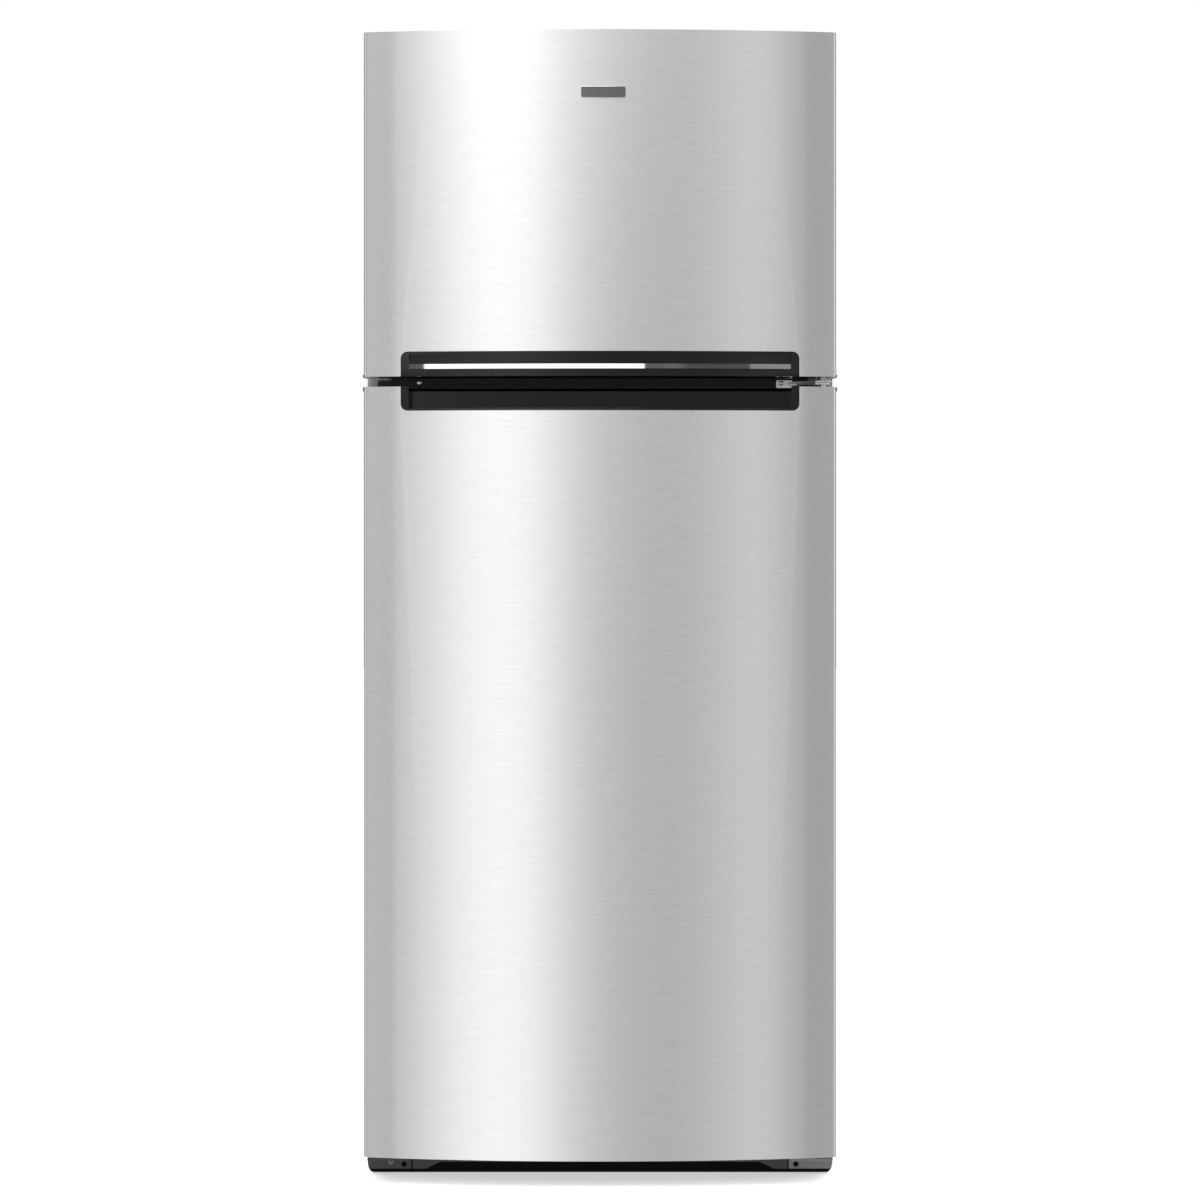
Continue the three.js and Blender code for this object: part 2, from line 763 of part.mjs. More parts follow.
function machineCover() {
  const low = shellBottom + 4;
  const high = machineHeight + 10;
  const base = block([-coverHalf, coverHalf], [cabinetBack + seat, cabinetBack + 2], [low, high]);
  const proud = block(
    [-coverHalf + 25, coverHalf - 25],
    [cabinetBack + 1, depth / 2],
    [low + 20, high - 20],
  );
  const hollow = block(
    [-coverHalf + 27, coverHalf - 27],
    [cabinetBack - 5, depth / 2 - 2],
    [low + 22, high - 22],
  );
  const louvres = [-1, 1].flatMap((side) =>
    Array.from({ length: 7 }, (_, i) => {
      const z = low + 45 + i * 22;
      const xs = side < 0 ? [-285, -105] : [105, 285];
      return block(xs, [cabinetBack, depth / 2 + 5], [z, z + 8]);
    }),
  );
  const cordHole = bar("y", 9, [cabinetBack - 5, depth / 2 + 5], [0, low + 50], 20);
  return cut(join(base, proud), hollow, ...louvres, cordHole);
}

// The gland that the supply cord leaves by: a flanged bush in the rear cover.
const cordGland = () =>
  cut(
    join(bar("y", 8.5, [-12, 0], [0, 0], 20), bar("y", 12, [-6.5, -2.5], [0, 0], 20)),
    bar("y", 4, [-20, 20], [0, 0], 16),
  );

// ---------------------------------------------------------------- inside the freezer
const evaporatorHalf = freezerHalf - 58;
const evaporatorY = [linerBack - 56, linerBack - 6];
const evaporatorFanZ = freezerCeiling - 120;
const evaporatorFanRadius = 48;

// Three courses of tube through upright fins, between two end plates, with a heater rod below.
function evaporator() {
  const middleY = (evaporatorY[0] + evaporatorY[1]) / 2;
  const rows = [0, 1, 2].map(
    (i) => bar("x", 5, [-evaporatorHalf, evaporatorHalf], [middleY, freezerFloor + 50 + i * 50], 6),
  );
  const fins = Array.from({ length: 8 }, (_, i) => {
    const x = (evaporatorHalf - 30) * ((2 * i) / 7 - 1);
    return block(
      [x - 0.6, x + 0.6],
      [evaporatorY[0] + 2, evaporatorY[1] - 2],
      [freezerFloor + 22, freezerFloor + 178],
    );
  });
  const ends = [2 - evaporatorHalf, evaporatorHalf - 4].map((x) =>
    block([x, x + 2], evaporatorY, [freezerFloor + seat, freezerFloor + 184]),
  );
  const heater = bar("x", 4, [1 - evaporatorHalf, evaporatorHalf - 1], [middleY, freezerFloor + 14], 6);
  return join(...rows, ...fins, ...ends, heater);
}

function evaporatorCover() {
  const plate = block([-freezerHalf + seat, freezerHalf - seat], [evaporatorCoverY, evaporatorCoverY + 3], [
    freezerFloor + seat,
    freezerCeiling - seat,
  ]);
  const fanSlots = [-3, -2, -1, 0, 1, 2, 3].map((i) => {
    const reach = Math.sqrt(evaporatorFanRadius ** 2 - (i * 13) ** 2);
    return block(
      [-reach, reach],
      [evaporatorCoverY - 1, evaporatorCoverY + 4],
      [evaporatorFanZ + i * 13 - 4, evaporatorFanZ + i * 13 + 4],
    );
  });
  const returnSlots = Array.from({ length: 12 }, (_, i) => {
    const x = -242 + i * 44;
    return block(
      [x - 15, x + 15],
      [evaporatorCoverY - 1, evaporatorCoverY + 4],
      [freezerFloor + 8, freezerFloor + 18],
    );
  });
  return cut(plate, ...fanSlots, ...returnSlots);
}

const evaporatorMotorLength = 24;
const evaporatorFanToMotor = 18;

function evaporatorFanMotor() {
  const can = bar("y", 20, [0, evaporatorMotorLength], [0, 0], 20);
  const shaft = bar("y", 3, [-evaporatorFanToMotor - 4, 1], [0, 0], 12);
  const bracket = block([-70, 70], [evaporatorMotorLength - 3, evaporatorMotorLength], [-8, 8]);
  return join(can, shaft, bracket);
}

const wire = 2.5;

// A plastic-coated wire shelf: a rim with rods across it.
function freezerShelf(shelfWidth, shelfDepth) {
  const rim = cut(
    block([-shelfWidth / 2, shelfWidth / 2], [0, shelfDepth], [0, 2 * wire]),
    block(
      [-shelfWidth / 2 + 2 * wire, shelfWidth / 2 - 2 * wire],
      [2 * wire, shelfDepth - 2 * wire],
      [-1, 2 * wire + 1],
    ),
  );
  const rods = Array.from({ length: 11 }, (_, i) => {
    const x = -shelfWidth / 2 + (shelfWidth * (i + 1)) / 12;
    return bar("y", wire, [wire, shelfDepth - wire], [x, wire], 6);
  });
  const cross = [0.33, 0.67].map((share) =>
    block(
      [-shelfWidth / 2 + wire, shelfWidth / 2 - wire],
      [shelfDepth * share - wire, shelfDepth * share + wire],
      [0, wire],
    ),
  );
  return join(rim, ...rods, ...cross);
}

// An open-topped box with its bottom middle front at the origin. Walls lean by nothing.
function tray(trayWidth, trayDepth, trayHeight, wall, radius) {
  const outer = prismZ(
    rounded(rectangle([-trayWidth / 2, trayWidth / 2], [0, trayDepth]), radius),
    [0, trayHeight],
  );
  const inner = prismZ(
    rounded(
      rectangle([-trayWidth / 2 + wall, trayWidth / 2 - wall], [wall, trayDepth - wall]),
      radius - wall,
    ),
    [wall, trayHeight + 1],
  );
  return cut(outer, inner);
}

// ---------------------------------------------------------------- inside the fresh-food compartment
const controlFront = -150;
const controlDepth = 190;
const controlHeight = 46;
const controlHalf = 150;
const knobRadius = 17;
const knobX = 75;

function controlHousing() {
  const low = fridgeCeiling - controlHeight;
  const section = rounded(
    [
      [controlFront, low + 6],
      [controlFront + 14, low],
      [controlFront + controlDepth, low + 12],
      [controlFront + controlDepth, fridgeCeiling - seat],
      [controlFront, fridgeCeiling - seat],
    ],
    4,
    [0, 1, 2],
  );
  const body = prismX(section, [-controlHalf, controlHalf]);
  const hollow = block(
    [-controlHalf + 3, controlHalf - 3],
    [controlFront + 14, controlFront + controlDepth - 4],
    [low + 16, fridgeCeiling + 1],
  );
  const spindleHoles = [-1, 1].map(
    (side) => bar(
      "y",
      4.4,
      [controlFront - 1, controlFront + 20],
      [side * knobX, fridgeCeiling - controlHeight / 2],
      16,
    ),
  );
  return cut(body, hollow, ...spindleHoles);
}

// A ribbed dial with a pointer ridge and a spindle, about the Y axis, its back face at the origin.
function knob() {
  const dial = solid(
    new THREE.CylinderGeometry(knobRadius, knobRadius - 1.5, 9, 24).translate(0, -4.5, 0),
  );
  const ridge = block([-2.5, 2.5], [-13, -8.5], [-knobRadius + 3, knobRadius - 3]);
  const spindle = bar("y", 3.8, [-1, 12], [0, 0], 16);
  return join(dial, ridge, spindle);
}

const shelfGlass = 4;

// A glass shelf: the pane with a moulded trim along its front and back edges, as one piece.
function glassShelf(shelfWidth, shelfDepth) {
  const pane = block([-shelfWidth / 2, shelfWidth / 2], [0, shelfDepth], [0, shelfGlass]);
  const nose = prismX(
    rounded(rectangle([-3, 9], [-4, shelfGlass + 3]), 3),
    [-shelfWidth / 2, shelfWidth / 2],
  );
  const fence = prismX(
    rounded(rectangle([shelfDepth - 8, shelfDepth + 1], [-2, 16]), 2),
    [-shelfWidth / 2, shelfWidth / 2],
  );
  return join(pane, nose, fence);
}

const crisperHeight = 186;
const crisperWall = 2.5;
const crisperWidth = fridgeHalf - 10;
const crisperCentre = fridgeHalf / 2;
const crisperBottom = fridgeFloorHeight + seat;
const crisperCoverZ = fridgeLedge + seat;

// The glass cover over the crispers, with a front rail that holds the humidity slides.
function crisperCover() {
  const coverDepth = linerBack - crisperFront - 4;
  const pane = block([-fridgeHalf + 1, fridgeHalf - 1], [0, coverDepth], [0, shelfGlass]);
  const rail = block([-fridgeHalf + 1, fridgeHalf - 1], [-8, 10], [-13 - seat, shelfGlass + 3]);
  const slots = [-1, 1].map((side) =>
    block([side * crisperCentre - 45, side * crisperCentre + 45], [-9, -3], [-8, -2]),
  );
  const sideRoom = [-1, 1].map((side) =>
    block(
      side < 0 ? [-fridgeHalf, -fridgeHalf + shelfLedge + 1] : [fridgeHalf - shelfLedge - 1, fridgeHalf],
      [-1, 20],
      [-20, -0.01],
    ),
  );
  const runner = block([-5, 5], [10, crisperDepth], [-13, 1]);
  return cut(join(pane, rail, runner), ...slots, ...sideRoom);
}

// A drawer with a bowed grip across the top of its front.
function crisper() {
  const box = tray(crisperWidth, crisperDepth, crisperHeight, crisperWall, 12);
  const grip = prismX(
    [
      [-14, crisperHeight - 34],
      [-14, crisperHeight - 10],
      [-8, crisperHeight],
      [1, crisperHeight],
      [1, crisperHeight - 4],
      [-7, crisperHeight - 6],
      [-11, crisperHeight - 12],
      [-11, crisperHeight - 34],
    ],
    [-crisperWidth / 2 + 14, crisperWidth / 2 - 14],
  );
  return join(box, grip);
}

const humiditySlide = () =>
  join(block([-11, 11], [-7, -3.6], [-2.6, 2.6]), block([-5, 5], [-12, -6], [-2.2, 2.2]));

// The plunger of the light switch, held in by the closed door.
const doorSwitch = () => bar("y", switchRadius, [0, 22], [0, 0], 16);

// ---------------------------------------------------------------- doors
const notchHalf = half - 56; // half the length of a door's handle recess
const freezerNotch = 37; // its height on the upper door
const fridgeNotch = 36; // and on the lower door
const notchRadius = 10;
const endFlange = 12; // black border at each end of a recess

// A door from above, inset from the outside of its skin, up to a given rear plane.
function doorPlan(inset, back, radius = doorCornerRadius - inset, steps = 14) {
  const side = half - inset;
  const r = crownRadius - inset;
  const centre = front + crownRadius;
  const arc = Array.from({ length: steps + 1 }, (_, i) => {
    const x = side - (2 * side * i) / steps;
    return [x, centre - Math.sqrt(r * r - x * x)];
  });
  const outline = [[side, back], ...arc, [-side, back]];
  return radius > 0.5 ? rounded(outline, radius, [1, steps + 1]) : outline;
}

const returnFlange = 14;

// The ear of a door cap on one side, which wraps the skin there and clears the cabinet as a door opens.
const earSetback = 13; // back from the door's front at its sides
const earInset = 4;

function ear(side, [low, high], grown = 0) {
  const xs = span(side * (half - earInset - grown), side * (half + capOverhang + grown));
  return block(
    xs,
    [doorFront + earSetback - grown, skinBack - earInset + grown],
    [low - grown, high + grown],
  );
}

// The steel skin: one bent sheet with return flanges behind.
function doorSkin(low, high) {
  const inner = doorPlan(sheet, skinBack - sheet);
  const profile = [
    [half - returnFlange, skinBack],
    ...doorPlan(0, skinBack),
    [-half + returnFlange, skinBack],
    [-half + returnFlange, skinBack - sheet],
    ...inner.reverse(),
    [half - returnFlange, skinBack - sheet],
  ];
  return prismZ(profile, [low, high]);
}

// The handle recess through the front of a skin, open at one end of the door.
function notch(edge, height, downwards) {
  const far = edge + (downwards ? -height : height);
  const beyond = edge + (downwards ? 20 : -20);
  const corners = [[-notchHalf, beyond], [-notchHalf, far], [notchHalf, far], [notchHalf, beyond]];
  return prismY(rounded(corners, notchRadius, [1, 2]), [front - 10, doorFront + 30]);
}

const raisedPanel = 16; // a door liner's middle stands this far behind its flange
const lugSize = [3.5, 26, 12];
const binGap = 1;
const binWall = 2.5;
const binCorner = 5;
const lugSetback = 8; // a lug stands this far behind a liner's raised middle

// The raised parts of a door's inner face, shrunk to the foam side by a wall thickness.
function innerFace(inner, [low, high], shrink) {
  const side = inner - dykeGap - shrink;
  const panel = block(
    [-side, side],
    [skinBack - 4, doorBack + raisedPanel - shrink],
    [low + shrink, high - shrink],
  );
  const dykes = [-1, 1].map((s) => {
    const xs = span(s * (inner - dykeGap - shrink), s * (inner - dykeGap - dykeWidth + shrink));
    return block(xs, [skinBack - 4, doorBack + dykeDepth - shrink], [low + shrink, high - shrink]);
  });
  return join(panel, ...dykes);
}

const lugs = (inner, zs) =>
  zs.flatMap((z) =>
    [-1, 1].map((s) => {
      const face = inner - dykeGap - dykeWidth;
      const xs = [s * (face + linerWall / 2), s * (face - lugSize[0])].sort((a, b) => a - b);
      return block(
        xs,
        [doorBack + raisedPanel + lugSetback, doorBack + raisedPanel + lugSetback + lugSize[1]],
        [z, z + lugSize[2]],
      );
    }),
  );

function doorLiner(inner, [low, high], [flangeLow, flangeHigh], lugHeights) {
  const flange = block([-half + 3, half - 3], [doorBack - linerWall, doorBack], [flangeLow, flangeHigh]);
  const outside = join(flange, innerFace(inner, [low, high], 0));
  const flushFront = block([-half, half], [front, doorBack - linerWall], [flangeLow - 1, flangeHigh + 1]);
  return join(
    cut(outside, innerFace(inner, [low, high], linerWall), flushFront),
    ...lugs(inner, lugHeights),
  );
}

// The foam fills a door between its skin, its liner and its caps.
function doorFoam(inner, [low, high], [foamLow, foamHigh], ...rooms) {
  const core = prismZ(capPlan(), [foamLow, foamHigh]);
  return cut(join(core, innerFace(inner, [low, high], linerWall + seat)), ...rooms);
}

const gasketOuter = hingeX - 2;
const gasketWidth = 18;

function gasket([low, high]) {
  const ring = (inset) =>
    rounded(rectangle([-gasketOuter + inset, gasketOuter - inset], [low + inset, high - inset]), 6);
  return prismY(ring(0), [doorBack + seat, cabinetFront - seat], [ring(gasketWidth)]);
}

// A boss that takes a hinge pin, closed at its far end.
const boss = ([low, high]) => bar("z", 11, [low, high], [hingeX, hingeY]);
const pinHole = ([low, high]) => bar("z", pinRadius + pinClearance, [low, high], [hingeX, hingeY]);

const recessDepth = 34; // a finger recess, back from the door's front at its sides
const recessWall = 4;
const capPlan = (inset = 0) => doorPlan(sheet + seat + inset, skinBack - sheet - seat - inset);
const recessPlan = (inset, back) => doorPlan(sheet + seat + 0.4 + inset, back);

// The plate of a cap inside the end of a skin, with an ear round each side of it.
const capPlateWithEars = (plateZ, earZ) => join(prismZ(capPlan(), plateZ), ear(-1, earZ), ear(1, earZ));

// Upper door: a face with a ledge along it, and a finger recess behind it that opens downwards.
const ledgeHigh = 18.5;
const faceSink = 5;
const faceTopRim = 4;

function freezerHandle() {
  const high = freezerNotch - seat;
  const back = doorFront + recessDepth + recessWall;
  const edge = notchHalf - seat;
  const outline = rounded(
    [[-edge, -1], [-edge, high], [edge, high], [edge, -1]],
    notchRadius - seat,
    [1, 2],
  );
  const body = prismZ(recessPlan(0, back), [0, high]).intersect(prismY(outline, [front - 10, back]));
  const inner = notchHalf - endFlange;
  const between = block([-inner, inner], [front - 5, back], [-5, high]);
  const sunk = cut(
    prismZ(recessPlan(0, back), [ledgeHigh, high - faceTopRim]),
    prismZ(recessPlan(faceSink, back + 1), [ledgeHigh - 1, high]),
  ).intersect(between);
  const pocket = prismZ(
    recessPlan(faceSink + 3, back - recessWall),
    [-1, high - faceTopRim],
  ).intersect(between);
  const cap = capPlateWithEars([0, capPlate], [0, freezerEar]);
  const pinBoss = boss([0, pinReach + 4]);
  return cut(join(body, cap, pinBoss), sunk, pocket, pinHole([-1, pinReach + 2]));
}

// Lower door: a recess open to the front and the top, which runs on down behind the skin.
const pocketDrop = 22; // below the visible recess
const recessSill = 3;

function fridgeHandle() {
  const top = fridgeDoorHeight;
  const low = top - fridgeNotch + seat;
  const back = doorFront + recessDepth + recessWall;
  const edge = notchHalf - seat;
  const outline = rounded(
    [[edge, top + 1], [edge, low], [-edge, low], [-edge, top + 1]],
    notchRadius - seat,
    [1, 2],
  );
  const visible = prismZ(recessPlan(0, back), [low, top]).intersect(prismY(outline, [front - 10, back]));
  const inner = notchHalf - endFlange;
  const wellSides = block([-inner - 3, inner + 3], [front, back], [low - pocketDrop, low + 1]);
  const well = prismZ(recessPlan(0, back), [low - pocketDrop, low + 1]).intersect(wellSides);
  const pocketZ = [low - pocketDrop + 3, top + 5];
  const pocketSides = block([-inner, inner], [front, back], pocketZ);
  const pocket = prismZ(recessPlan(3, back - recessWall), pocketZ).intersect(pocketSides);
  const mouth = block([-inner, inner], [front - 5, doorFront + 8], [low + recessSill, top + 5]);
  const cap = capPlateWithEars([top - capPlate, top], [top - fridgeEar, top]);
  const pinBoss = boss([top - pinReach - 4, top]);
  return cut(join(visible, well, cap, pinBoss), pocket, mouth, pinHole([top - pinReach - 2, top + 1]));
}

const hingeRecess = 15; // the upper door's top is lowered this much around the top hinge
const recessLeft = hingeX - 70;
const recessFront = doorFront + 14;

const topCapDrop = 19;
const topCapRim = 3;

// A shallow inverted tray in the top of the upper door, lowered at the hinge.
function freezerTopCap() {
  const top = freezerDoorHeight;
  const low = top - topCapDrop;
  const floor = top - hingeRecess;
  const full = prismZ(capPlan(), [low, top]);
  const hollow = prismZ(capPlan(topCapRim), [low - 1, top - topCapRim]);
  const hingeCorner = (inset, z) =>
    block([recessLeft + inset, half], [recessFront + inset, cabinetFront], z).intersect(full);
  const lowered = hingeCorner(-topCapRim, [low, top]);
  const rearward = doorBack + 1;
  const recess = block([recessLeft, half + 1], [recessFront, rearward], [floor, top + 1]);
  const pinEnd = floor - pinReach;
  const socket = boss([pinEnd - 2, low + 1]);
  return cut(join(cut(full, hollow), lowered, socket), recess, pinHole([pinEnd, top + 1]));
}

// A shallow tray in the bottom of the lower door.
const bottomCapRise = 14;

function fridgeBottomCap() {
  const hollow = prismZ(capPlan(topCapRim), [topCapRim, bottomCapRise + 1]);
  const body = cut(prismZ(capPlan(), [0, bottomCapRise]), hollow);
  return cut(join(body, boss([0, pinReach + 5])), pinHole([-1, pinReach + 3]));
}

// ---------------------------------------------------------------- door bins
const binDepth = 84;

// A bin that hangs on the lugs of the door liner by slots in its ends.
function doorBin(inner, height, guard) {
  const binWidth = 2 * (inner - dykeGap - dykeWidth - binGap);
  const body = tray(binWidth, binDepth, height, binWall, binCorner);
  const lowFront = block(
    [-binWidth / 2 + 10, binWidth / 2 - 10],
    [-1, binWall + 0.5],
    [guard, height + 1],
  );
  const slot = (s) => {
    const xs = span(s * (binWidth / 2 + 1), s * (binWidth / 2 - binWall - 1));
    return block(
      xs,
      [lugSetback - seat - 0.5, lugSetback + lugSize[1] + seat],
      [-1, lugSize[2] + seat + 6],
    );
  };
  return cut(body, lowFront, slot(-1), slot(1));
}

const binY = doorBack + raisedPanel + 0.5;
const lidRadius = 3;

// A curved clear cover that turns up about its rear upper edge.
function dairyLid(inner) {
  const lidHalf = inner - dykeGap - dykeWidth - binGap - 8;
  const shape = rounded([[0, 3], [binDepth - 8, 3], [binDepth - 8, -46]], 26, [1], 6);
  const section = ribbon(shape, -2.5);
  const cover = prismX(section, [-lidHalf, lidHalf]);
  const reach = inner - dykeGap - dykeWidth + linerWall / 2;
  const barrel = bar("x", lidRadius, [-reach, reach], [0, 0], 12);
  return join(cover, barrel);
}

// ---------------------------------------------------------------- assembly
const inRow = ([low, high], offset) => [low - offset, high - offset];

// Upper door, in heights above its own lower edge.
const freezerPanel = inRow([freezerFloor + 8, freezerCeiling - 8], freezerDoorBottom);
const freezerGasket = [5, freezerDoorHeight - 30];
const freezerLugs = [60, freezerDoorHeight - 252];
const lugToBin = 6; // a bin's bottom lies this far below the lugs it hangs on

function freezerDoorSkin() {
  const body = doorSkin(0, freezerDoorHeight);
  const recessCorner = block([recessLeft, half + 1], [recessFront, doorBack], [
    freezerDoorHeight - hingeRecess,
    freezerDoorHeight + 1,
  ]);
  const ears = [-1, 1].map((side) => ear(side, [0, freezerEar], seat));
  return cut(body, notch(0, freezerNotch, false), recessCorner, ...ears);
}

function freezerDoorFoam() {
  const back = doorFront + recessDepth + recessWall + seat;
  const handleRoom = block([-notchHalf - 1, notchHalf + 1], [front, back], [0, freezerNotch + 1]);
  const bosses = [[0, pinReach + 5], [freezerDoorHeight - hingeRecess - pinReach - 3, freezerDoorHeight]];
  const bossRooms = bosses.map((heights) => bar("z", 12, heights, [hingeX, hingeY]));
  return doorFoam(
    freezerHalf,
    freezerPanel,
    [capPlate + seat, freezerDoorHeight - topCapDrop - seat],
    handleRoom,
    ...bossRooms,
    ...[-1, 1].map((side) => ear(side, [0, freezerEar], seat)),
  );
}

// Lower door, likewise.
const fridgePanel = inRow([fridgeFloorHeight + 8, fridgeCeiling - 8], floorToDoor);
const fridgeGasket = [14, fridgeDoorHeight - 5];
const fridgeLugs = [92, 430, fridgeDoorHeight - 270];
const lidPivot = [doorBack + raisedPanel + 10, fridgeLugs[2] - lugToBin + 98];

function fridgeDoorSkin() {
  const ears = [-1, 1].map((side) => ear(side, [fridgeDoorHeight - fridgeEar, fridgeDoorHeight], seat));
  return cut(doorSkin(0, fridgeDoorHeight), notch(fridgeDoorHeight, fridgeNotch, true), ...ears);
}

function fridgeDoorFoam() {
  const top = fridgeDoorHeight;
  const back = doorFront + recessDepth + recessWall + seat;
  const handleRoom = block(
    [-notchHalf - 1, notchHalf + 1],
    [front, back],
    [top - fridgeNotch - pocketDrop - 1, top],
  );
  const bosses = [
    bar("z", 12, [top - pinReach - 5, top], [hingeX, hingeY]),
    bar("z", 12, [0, pinReach + 6], [hingeX, hingeY]),
  ];
  return doorFoam(
    fridgeHalf,
    fridgePanel,
    [bottomCapRise + seat, top - capPlate - seat],
    handleRoom,
    ...bosses,
    ...[-1, 1].map((side) => ear(side, [top - fridgeEar, top], seat)),
  );
}

function fridgeDoorLiner() {
  const face = fridgeHalf - dykeGap - dykeWidth;
  const pivotHoles = [-1, 1].map((side) => {
    const xs = span(side * (face - 2), side * (face + linerWall));
    return bar("x", lidRadius + pinClearance, xs, lidPivot, 12);
  });
  return cut(doorLiner(fridgeHalf, fridgePanel, [2, fridgeDoorHeight - 2], fridgeLugs), ...pivotHoles);
}

// A plain plate that follows the crown of the skin.
function badge() {
  const [w, h] = badgeSize.map((size) => size / 2);
  const sheetOver = cut(
    prismZ(doorPlan(-badgeProud - seat, doorBack), [-h, h]),
    prismZ(doorPlan(-seat, doorBack + 1), [-h - 1, h + 1]),
  );
  return sheetOver.intersect(prismY(rounded(rectangle([-w, w], [-h, h]), 3), [front - 5, doorFront]));
}

const binPlace = (lugHeight) => [0, binY, lugHeight - lugToBin];

const freezerDoor = group(
  [0, 0, freezerDoorBottom],
  piece("freezer_door_skin", stainless, freezerDoorSkin()),
  piece("freezer_door_foam", foam, freezerDoorFoam()),
  piece(
    "freezer_door_liner",
    whitePlastic,
    doorLiner(freezerHalf, freezerPanel, [2, freezerDoorHeight - 2 - hingeRecess], freezerLugs),
  ),
  piece("freezer_door_gasket", greyRubber, gasket(freezerGasket)),
  piece("freezer_handle", blackGloss, freezerHandle()),
  piece("freezer_door_top_cap", blackPlastic, freezerTopCap()),
  piece("badge", chromed, badge(), [5, 0, freezerDoorHeight - badgeBelowTop]),
  piece("freezer_lower_bin", clearPlastic, doorBin(freezerHalf, 92, 70), binPlace(freezerLugs[0])),
  piece("freezer_upper_bin", clearPlastic, doorBin(freezerHalf, 92, 70), binPlace(freezerLugs[1])),
);

const fridgeDoor = group(
  [0, 0, floorToDoor],
  piece("fridge_door_skin", stainless, fridgeDoorSkin()),
  piece("fridge_door_foam", foam, fridgeDoorFoam()),
  piece("fridge_door_liner", whitePlastic, fridgeDoorLiner()),
  piece("fridge_door_gasket", greyRubber, gasket(fridgeGasket)),
  piece("fridge_handle", blackGloss, fridgeHandle()),
  piece("fridge_door_bottom_cap", blackPlastic, fridgeBottomCap()),
  piece("bottle_bin", clearPlastic, doorBin(fridgeHalf, 120, 90), binPlace(fridgeLugs[0])),
  piece("middle_bin", clearPlastic, doorBin(fridgeHalf, 100, 76), binPlace(fridgeLugs[1])),
  piece("dairy_bin", clearPlastic, doorBin(fridgeHalf, 50, 50), binPlace(fridgeLugs[2])),
  piece("dairy_lid", clearPlastic, dairyLid(fridgeHalf), [0, ...lidPivot]),
);

const cabinet = group(
  [0, 0, 0],
  piece("cabinet_shell", paintedGrey, cabinetShell()),
  piece("back_panel", galvanised, backPanel()),
  piece("bottom_deck", galvanised, bottomDeck()),
  piece("cabinet_foam", foam, cabinetFoam()),
  piece("freezer_liner", whitePlastic, freezerLiner()),
  piece("fridge_liner", whitePlastic, fridgeLiner()),
  piece("mullion_rail", blackPlastic, mullionRail()),
  piece("top_hinge", galvanised, topHinge()),
  piece("top_hinge_cover", darkGrey, topHingeCover()),
  piece("center_hinge", chromed, centreHinge()),
  piece("bottom_hinge", galvanised, cornerBracket(1, true)),
  piece("leg_bracket", darkGrey, cornerBracket(-1, false)),
  piece("toe_grille", blackPlastic, join(toeGrille(), kickPanel())),
);

const machineRoom = group(
  [0, 0, 0],
  piece("base_tray", galvanised, baseTray()),
  piece("compressor", blackEnamel, compressor(), compressorPlace),
  piece("condenser", blackEnamel, condenser()),
  piece("drain_pan", blackPlastic, drainPan()),
  piece(
    "condenser_fan_motor",
    darkGrey,
    condenserFanMotor(),
    [fanX - fanToMotor - 42, machineMiddleY, fanHeight],
  ),
  piece("condenser_fan", blackPlastic, fan(fanRadius, 14, 14, 4, 0.5), [fanX, machineMiddleY, fanHeight]),
  piece("machine_cover", galvanised, machineCover()),
  piece("cord_gland", blackPlastic, cordGland(), [0, depth / 2, shellBottom + 54]),
);

const evaporatorMotorY = linerBack - seat - evaporatorMotorLength;
const evaporatorFan = piece("evaporator_fan", blackPlastic, fan(evaporatorFanRadius, 12, 12, 4, 0.5), [
  0,
  evaporatorMotorY - evaporatorFanToMotor,
  evaporatorFanZ,
]);
evaporatorFan.rotation.z = -Math.PI / 2;

const freezerInside = group(
  [0, 0, 0],
  piece("evaporator", bareAluminium, evaporator()),
  piece("evaporator_cover", whitePlastic, evaporatorCover()),
  piece("evaporator_fan_motor", darkGrey, evaporatorFanMotor(), [0, evaporatorMotorY, evaporatorFanZ]),
  evaporatorFan,
  piece("freezer_shelf", whiteWire, freezerShelf(2 * freezerHalf - 4, evaporatorCoverY - shelfFront - 6), [
    0,
    shelfFront,
    shelfSpecs.freezer + seat,
  ]),
);

const glassDepth = linerBack - shelfFront - 8;
const glassWidth = 2 * fridgeHalf - 4;
const knobZ = fridgeCeiling - controlHeight / 2;
const slideZ = crisperCoverZ - 5;

const fridgeInside = group(
  [0, 0, 0],
  piece("control_housing", whitePlastic, controlHousing()),
  piece("freezer_knob", darkGrey, knob(), [-knobX, controlFront - seat, knobZ]),
  piece("fridge_knob", darkGrey, knob(), [knobX, controlFront - seat, knobZ]),
  piece("door_switch", whitePlastic, doorSwitch(), switchPlace),
  piece(
    "upper_shelf",
    clearGlass,
    glassShelf(glassWidth, glassDepth),
    [0, shelfFront, shelfSpecs.upper + seat],
  ),
  piece(
    "lower_shelf",
    clearGlass,
    glassShelf(glassWidth, glassDepth),
    [0, shelfFront, shelfSpecs.lower + seat],
  ),
  piece("crisper_cover", clearGlass, crisperCover(), [0, crisperFront, crisperCoverZ]),
  piece("left_crisper", clearPlastic, crisper(), [-crisperCentre, crisperFront, crisperBottom]),
  piece("right_crisper", clearPlastic, crisper(), [crisperCentre, crisperFront, crisperBottom]),
  piece("left_humidity_slide", whitePlastic, humiditySlide(), [-crisperCentre, crisperFront, slideZ]),
  piece("right_humidity_slide", whitePlastic, humiditySlide(), [crisperCentre, crisperFront, slideZ]),
);

const feet = group(
  [0, 0, 0],
  piece("left_foot", blackPlastic, levellingFoot(), [-footX, footY, 0]),
  piece("right_foot", blackPlastic, levellingFoot(), [footX, footY, 0]),
  piece("left_roller", whitePlastic, rearRoller(), [-rollerX, rollerY, rollerRadius]),
  piece("right_roller", whitePlastic, rearRoller(), [rollerX, rollerY, rollerRadius]),
);

